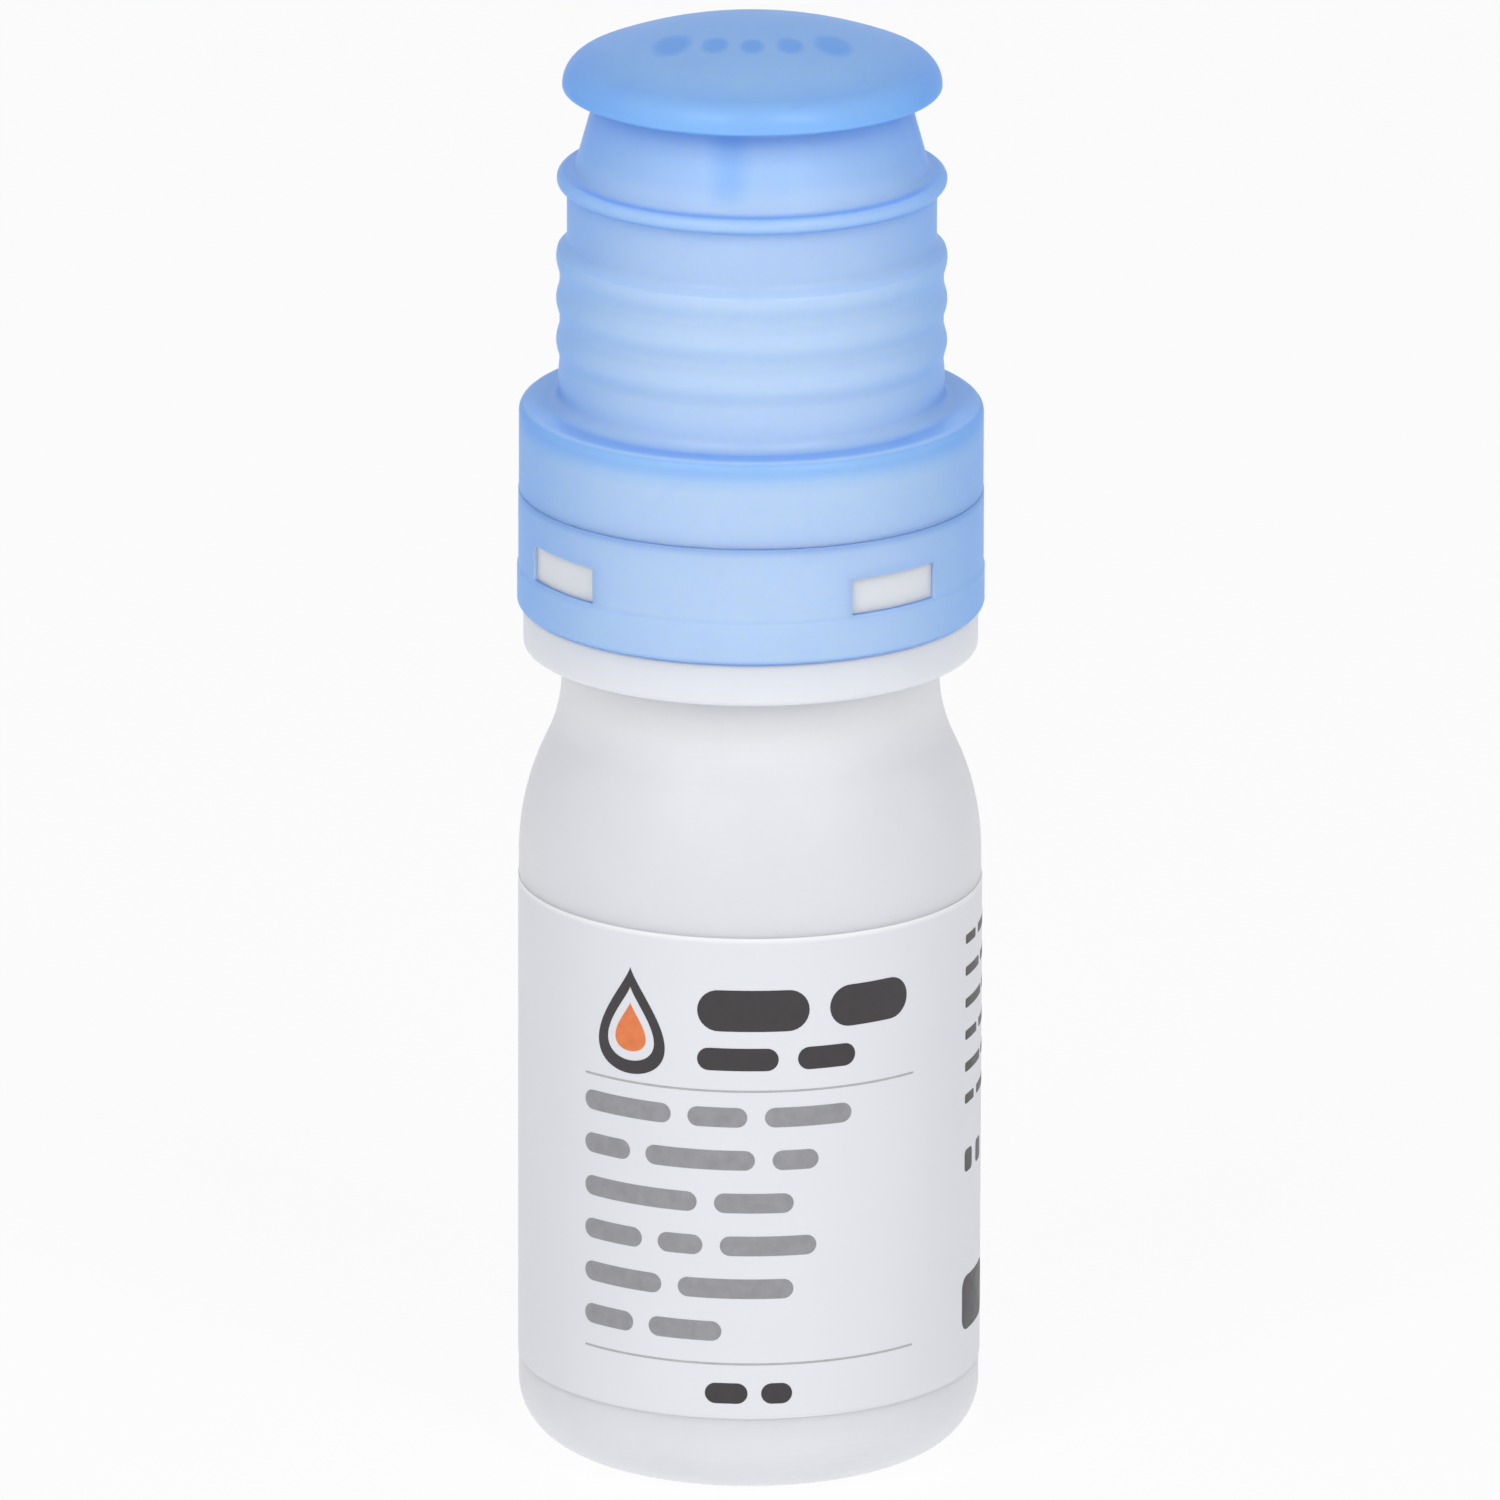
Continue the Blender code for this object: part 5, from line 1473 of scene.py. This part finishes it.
class MakeCap(bpy.types.Operator):
    """Pull-off cap with its mushroom, grip beads and inner ribs"""
    bl_idname = "eyedrops.cap"
    bl_label = "Cap"

    def execute(self, context):
        size = settings().cap
        material = known_material(blue_cap_material)
        cap = turned_piece("cap_shell", cap_corners(size), material)
        settled(cap, "cap", "blue_plastic", "cap")
        top_inside = SEAL_HIGH.z + size.seal_gap
        ribs = new_object("cap_ribs", [])
        through_tree(ribs, shared_tree(rib_tree), material, {
            "Count": size.ribs, "First": size.rib_angle - math.pi / 2,
            "Inner": size.boss_bore + size.boss_wall / 2,
            "Outer": size.throat_top - size.throat_wall * 0.35,
            "Thickness": size.rib_thickness, "Bottom": top_inside - size.rib_height,
            "Top": top_inside + size.rib_thickness / 2})
        settled(smoothed(ribs), "cap", "blue_plastic")
        radius = SEAL_HIGH.x
        edge = size.seal_round
        seal = turned_piece("cap_seal_disc", [
            (0.0, SEAL_HIGH.z), (radius, SEAL_HIGH.z, edge), (radius, SEAL_LOW.z, edge),
            (0.0, SEAL_LOW.z)], known_material(rubber_material), SMALL_TURN_STEPS)
        settled(seal, "cap", "soft_rubber", "cap_seal")
        return {"FINISHED"}


def tip_corners(size):
    """Outline of the dropper tip, from its outlet down its outside and up its inside."""
    low = TIP_LOW.z
    high = TIP_HIGH.z
    flange = HEAD_HIGH.z + size.flange_gap
    flange_top = flange + size.flange_height
    edge = size.edge_round
    return [
        (size.channel, high),
        (size.top_radius, high, size.top_round),
        (size.foot_radius, flange_top, size.foot_fillet),
        (size.flange_radius, flange_top, edge),
        (size.flange_radius, flange, edge),
        (size.plug_radius, flange),
        (size.plug_radius, low),
        (size.plug_bore, low),
        (size.plug_bore, high - size.seat_foot),
        (size.channel, high - size.seat_top)]


def pin_corners(size):
    """Outline of the valve pin, from its point to its foot."""
    low = PIN_LOW.z
    high = TIP_HIGH.z
    collar = low + size.collar_rise
    collar_top = collar + size.collar_height
    edge = size.edge_round
    return [
        (0.0, PIN_HIGH.z),
        (size.pin_point, PIN_HIGH.z, edge),
        (size.pin_point, high - size.cone_top),
        (size.pin_radius, high - size.cone_foot),
        (size.pin_radius, collar_top),
        (size.collar_radius, collar_top),
        (size.collar_radius, collar),
        (size.pin_foot, collar),
        (size.pin_foot, low, edge),
        (0.0, low)]


class MakeTip(bpy.types.Operator):
    """Dropper tip and the valve pin that closes it"""
    bl_idname = "eyedrops.tip"
    bl_label = "Tip and valve"

    def execute(self, context):
        size = settings().tip
        nozzle = turned_piece(
            "dropper_nozzle", tip_corners(size), known_material(white_plastic_material),
            SMALL_TURN_STEPS)
        settled(nozzle, "applicator", "white_plastic", "dropper_tip")
        pin = turned_piece(
            "valve_needle", pin_corners(size), known_material(natural_plastic_material),
            SMALL_TURN_STEPS)
        settled(pin, "valve_pin", "inner_plastic", "valve_pin")
        return {"FINISHED"}


class MakeSprings(bpy.types.Operator):
    """Return spring under the head and the small spring under the valve pin"""
    bl_idname = "eyedrops.springs"
    bl_label = "Springs"

    def execute(self, context):
        size = settings().springs
        self.wind(
            "return_coil", "bottle", "return_spring", "pump_press", size.return_radius,
            size.return_wire, size.return_turns)
        self.wind(
            "tip_coil", "applicator", "tip_spring", "valve_pin_retract", size.tip_radius,
            size.tip_wire, size.tip_turns)
        return {"FINISHED"}

    def wind(self, name, body, node, joint, radius, wire, turns):
        """One spring in the place of its solid; the joint is not used."""
        low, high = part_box(node)
        spring = new_object(name, [])
        through_tree(spring, shared_tree(coil_tree), known_material(steel_material), {
            "Turns": turns, "Points": int(turns * 28) + 1, "Radius": radius, "Wire": wire,
            "Bottom": low.z, "Top": high.z})
        smoothed(spring)
        settled(spring, body, "steel", node)
        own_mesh(spring)


class FinishInnerPieces(bpy.types.Operator):
    """Finishes of the solids that stay as they are"""
    bl_idname = "eyedrops.inner"
    bl_label = "Inner pieces"

    def execute(self, context):
        finishes = {
            "snap_ferrule": white_plastic_material,
            "pump_cylinder": natural_plastic_material,
            "ball_cage": natural_plastic_material,
            "piston": natural_plastic_material,
            "neck_gasket": rubber_material,
            "inlet_ball": steel_material,
            "vent_filter": filter_material,
        }
        for node, maker in finishes.items():
            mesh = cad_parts[node].data
            mesh.materials.clear()
            mesh.materials.append(known_material(maker))
        return {"FINISHED"}


# Stage
def floor_material(name, veil, glow):
    """Pale floor that looks nearly white to the eye and keeps the soft shadow."""
    material, tree, shader = material_tree(name)
    pale = tree.mix(
        tree.between(object_noise(tree, 0.05), 0.3, 0.7), (0.96, 0.96, 0.96, 1.0),
        (0.98, 0.98, 0.98, 1.0))
    shown = tree.mix(seen_rays(tree), (0.7, 0.7, 0.7, 1.0), pale)
    tree.tree.links.new(shown, shader.inputs["Base Color"])
    shader.inputs["Roughness"].default_value = 0.9
    shader.inputs["Specular IOR Level"].default_value = 0.1
    white = tree.node("ShaderNodeEmission", {"Color": (1.0, 1.0, 1.0, 1.0), "Strength": 1.0})
    part = tree.between(seen_rays(tree), 0.0, 1.0, glow, veil)
    veiled = tree.node(
        "ShaderNodeMixShader", {0: part, 1: shader.outputs[0], 2: white.outputs[0]})
    clear = tree.node("ShaderNodeBsdfTransparent")
    under = tree.node("ShaderNodeNewGeometry").outputs["Backfacing"]
    both = tree.node(
        "ShaderNodeMixShader", {0: under, 1: veiled.outputs[0], 2: clear.outputs[0]})
    tree.tree.links.new(both.outputs[0], material.node_tree.nodes["Material Output"].inputs[0])
    return material


def seen_rays(tree):
    """One where the camera, a gloss or a clear body looks."""
    path = tree.node("ShaderNodeLightPath").outputs
    first = tree.maths("MAXIMUM", path["Is Camera Ray"], path["Is Glossy Ray"])
    return tree.maths("MAXIMUM", first, path["Is Transmission Ray"])


class MakeStage(bpy.types.Operator):
    """Camera, soft light, white surroundings and floor"""
    bl_idname = "eyedrops.stage"
    bl_label = "Stage"

    def execute(self, context):
        size = settings().studio
        self.camera(context, size)
        self.surroundings(context, size)
        for side in (-1, 1):
            self.softbox(context, size, side)
        self.floor(size)
        context.scene.view_settings.view_transform = "Standard"
        return {"FINISHED"}

    def camera(self, context, size):
        """Camera in front, a little above the bottle."""
        data = bpy.data.cameras.new("camera")
        data.lens = size.camera_lens
        data.clip_start = 0.01
        data.clip_end = 100.0
        camera = bpy.data.objects.new("camera", data)
        back = Vector((0.0, -math.cos(size.camera_rise), math.sin(size.camera_rise)))
        aim = Vector((size.camera_side, 0.0, size.camera_aim))
        camera.location = aim + back * size.camera_distance
        tilt = Matrix.Rotation(math.pi / 2 - size.camera_rise, 4, "X")
        camera.rotation_euler = (tilt @ Matrix.Rotation(size.camera_roll, 4, "Z")).to_euler()
        context.scene.collection.objects.link(camera)
        context.scene.camera = camera

    def surroundings(self, context, size):
        """White to the eye, a plain even light to the bottle."""
        world = bpy.data.worlds.new("surroundings")
        world.use_nodes = True
        tree = Tree(world.node_tree)
        even = world.node_tree.nodes["Background"]
        even.inputs["Color"].default_value = (1.0, 1.0, 1.0, 1.0)
        even.inputs["Strength"].default_value = size.ambient
        white = tree.node("ShaderNodeBackground", {"Color": (1.0, 1.0, 1.0, 1.0), "Strength": 1.0})
        both = tree.node(
            "ShaderNodeMixShader", {0: seen_rays(tree), 1: even.outputs[0], 2: white.outputs[0]})
        tree.tree.links.new(both.outputs[0], world.node_tree.nodes["World Output"].inputs[0])
        context.scene.world = world

    def softbox(self, context, size, side):
        """One softbox beside the camera."""
        data = bpy.data.lights.new("softbox", "AREA")
        data.shape = "RECTANGLE"
        data.size = size.lamp_width
        data.size_y = size.lamp_height
        data.energy = size.lamp_power
        lamp = bpy.data.objects.new("softbox_" + ("left", "right")[side > 0], data)
        turn = size.lamp_angle * side
        level = math.cos(size.lamp_rise)
        back = Vector((math.sin(turn) * level, -math.cos(turn) * level, math.sin(size.lamp_rise)))
        lamp.location = Vector((0.0, 0.0, size.camera_aim)) + back * size.lamp_distance
        lamp.rotation_euler = back.to_track_quat("Z", "Y").to_euler()
        context.scene.collection.objects.link(lamp)

    def floor(self, size):
        """Round floor that the bottle stands on."""
        steps = 64
        points = []
        for step in range(steps):
            turn = 2 * math.pi * step / steps
            points.append((size.floor_size * math.cos(turn), size.floor_size * math.sin(turn), 0.0))
        floor = new_object("floor", points, [tuple(range(steps))])
        floor.data.materials.append(floor_material("pale_floor", size.floor_veil, size.floor_glow))


class EyeDropPanel(bpy.types.Panel):
    """Sizes, colours and steps of the eye drop bottle"""
    bl_idname = "VIEW3D_PT_eye_drops"
    bl_label = "Eye drop bottle"
    bl_space_type = "VIEW_3D"
    bl_region_type = "UI"
    bl_category = "Eye Drops"

    def draw(self, context):
        layout = self.layout
        steps = layout.column(align=True)
        for step in STEPS:
            steps.operator(step.bl_idname, text=step.bl_label)
        groups = context.scene.eye_drops
        for name in groups.bl_rna.properties.keys():
            group = getattr(groups, name)
            if not isinstance(group, bpy.types.PropertyGroup):
                continue
            box = layout.box()
            box.label(text=name.replace("_", " ").capitalize())
            for key in group.bl_rna.properties.keys():
                if key not in ("rna_type", "name"):
                    box.prop(group, key)


GROUPS = (
    BottleSizes, LabelSizes, PrintSizes, HeadSizes, RingSizes, CapSizes, TipSizes, SpringSizes,
    Colours, Studio, EyeDropSettings)
STEPS = (
    MakeStage, MakeBottle, MakeLabel, MakePrint, MakeHead, MakeRing, MakeCap, MakeTip,
    MakeSprings, FinishInnerPieces)


def register():
    """Register the settings, the steps and the panel."""
    for entry in (*GROUPS, *STEPS, EyeDropPanel):
        bpy.utils.register_class(entry)
    bpy.types.Scene.eye_drops = PointerProperty(type=EyeDropSettings)


def unregister():
    """Take them out again."""
    del bpy.types.Scene.eye_drops
    for entry in reversed((*GROUPS, *STEPS, EyeDropPanel)):
        bpy.utils.unregister_class(entry)


def main():
    """Run every step."""
    register()
    for step in STEPS:
        group, name = step.bl_idname.split(".")
        getattr(getattr(bpy.ops, group), name)()


if __name__ == "__main__":
    main()
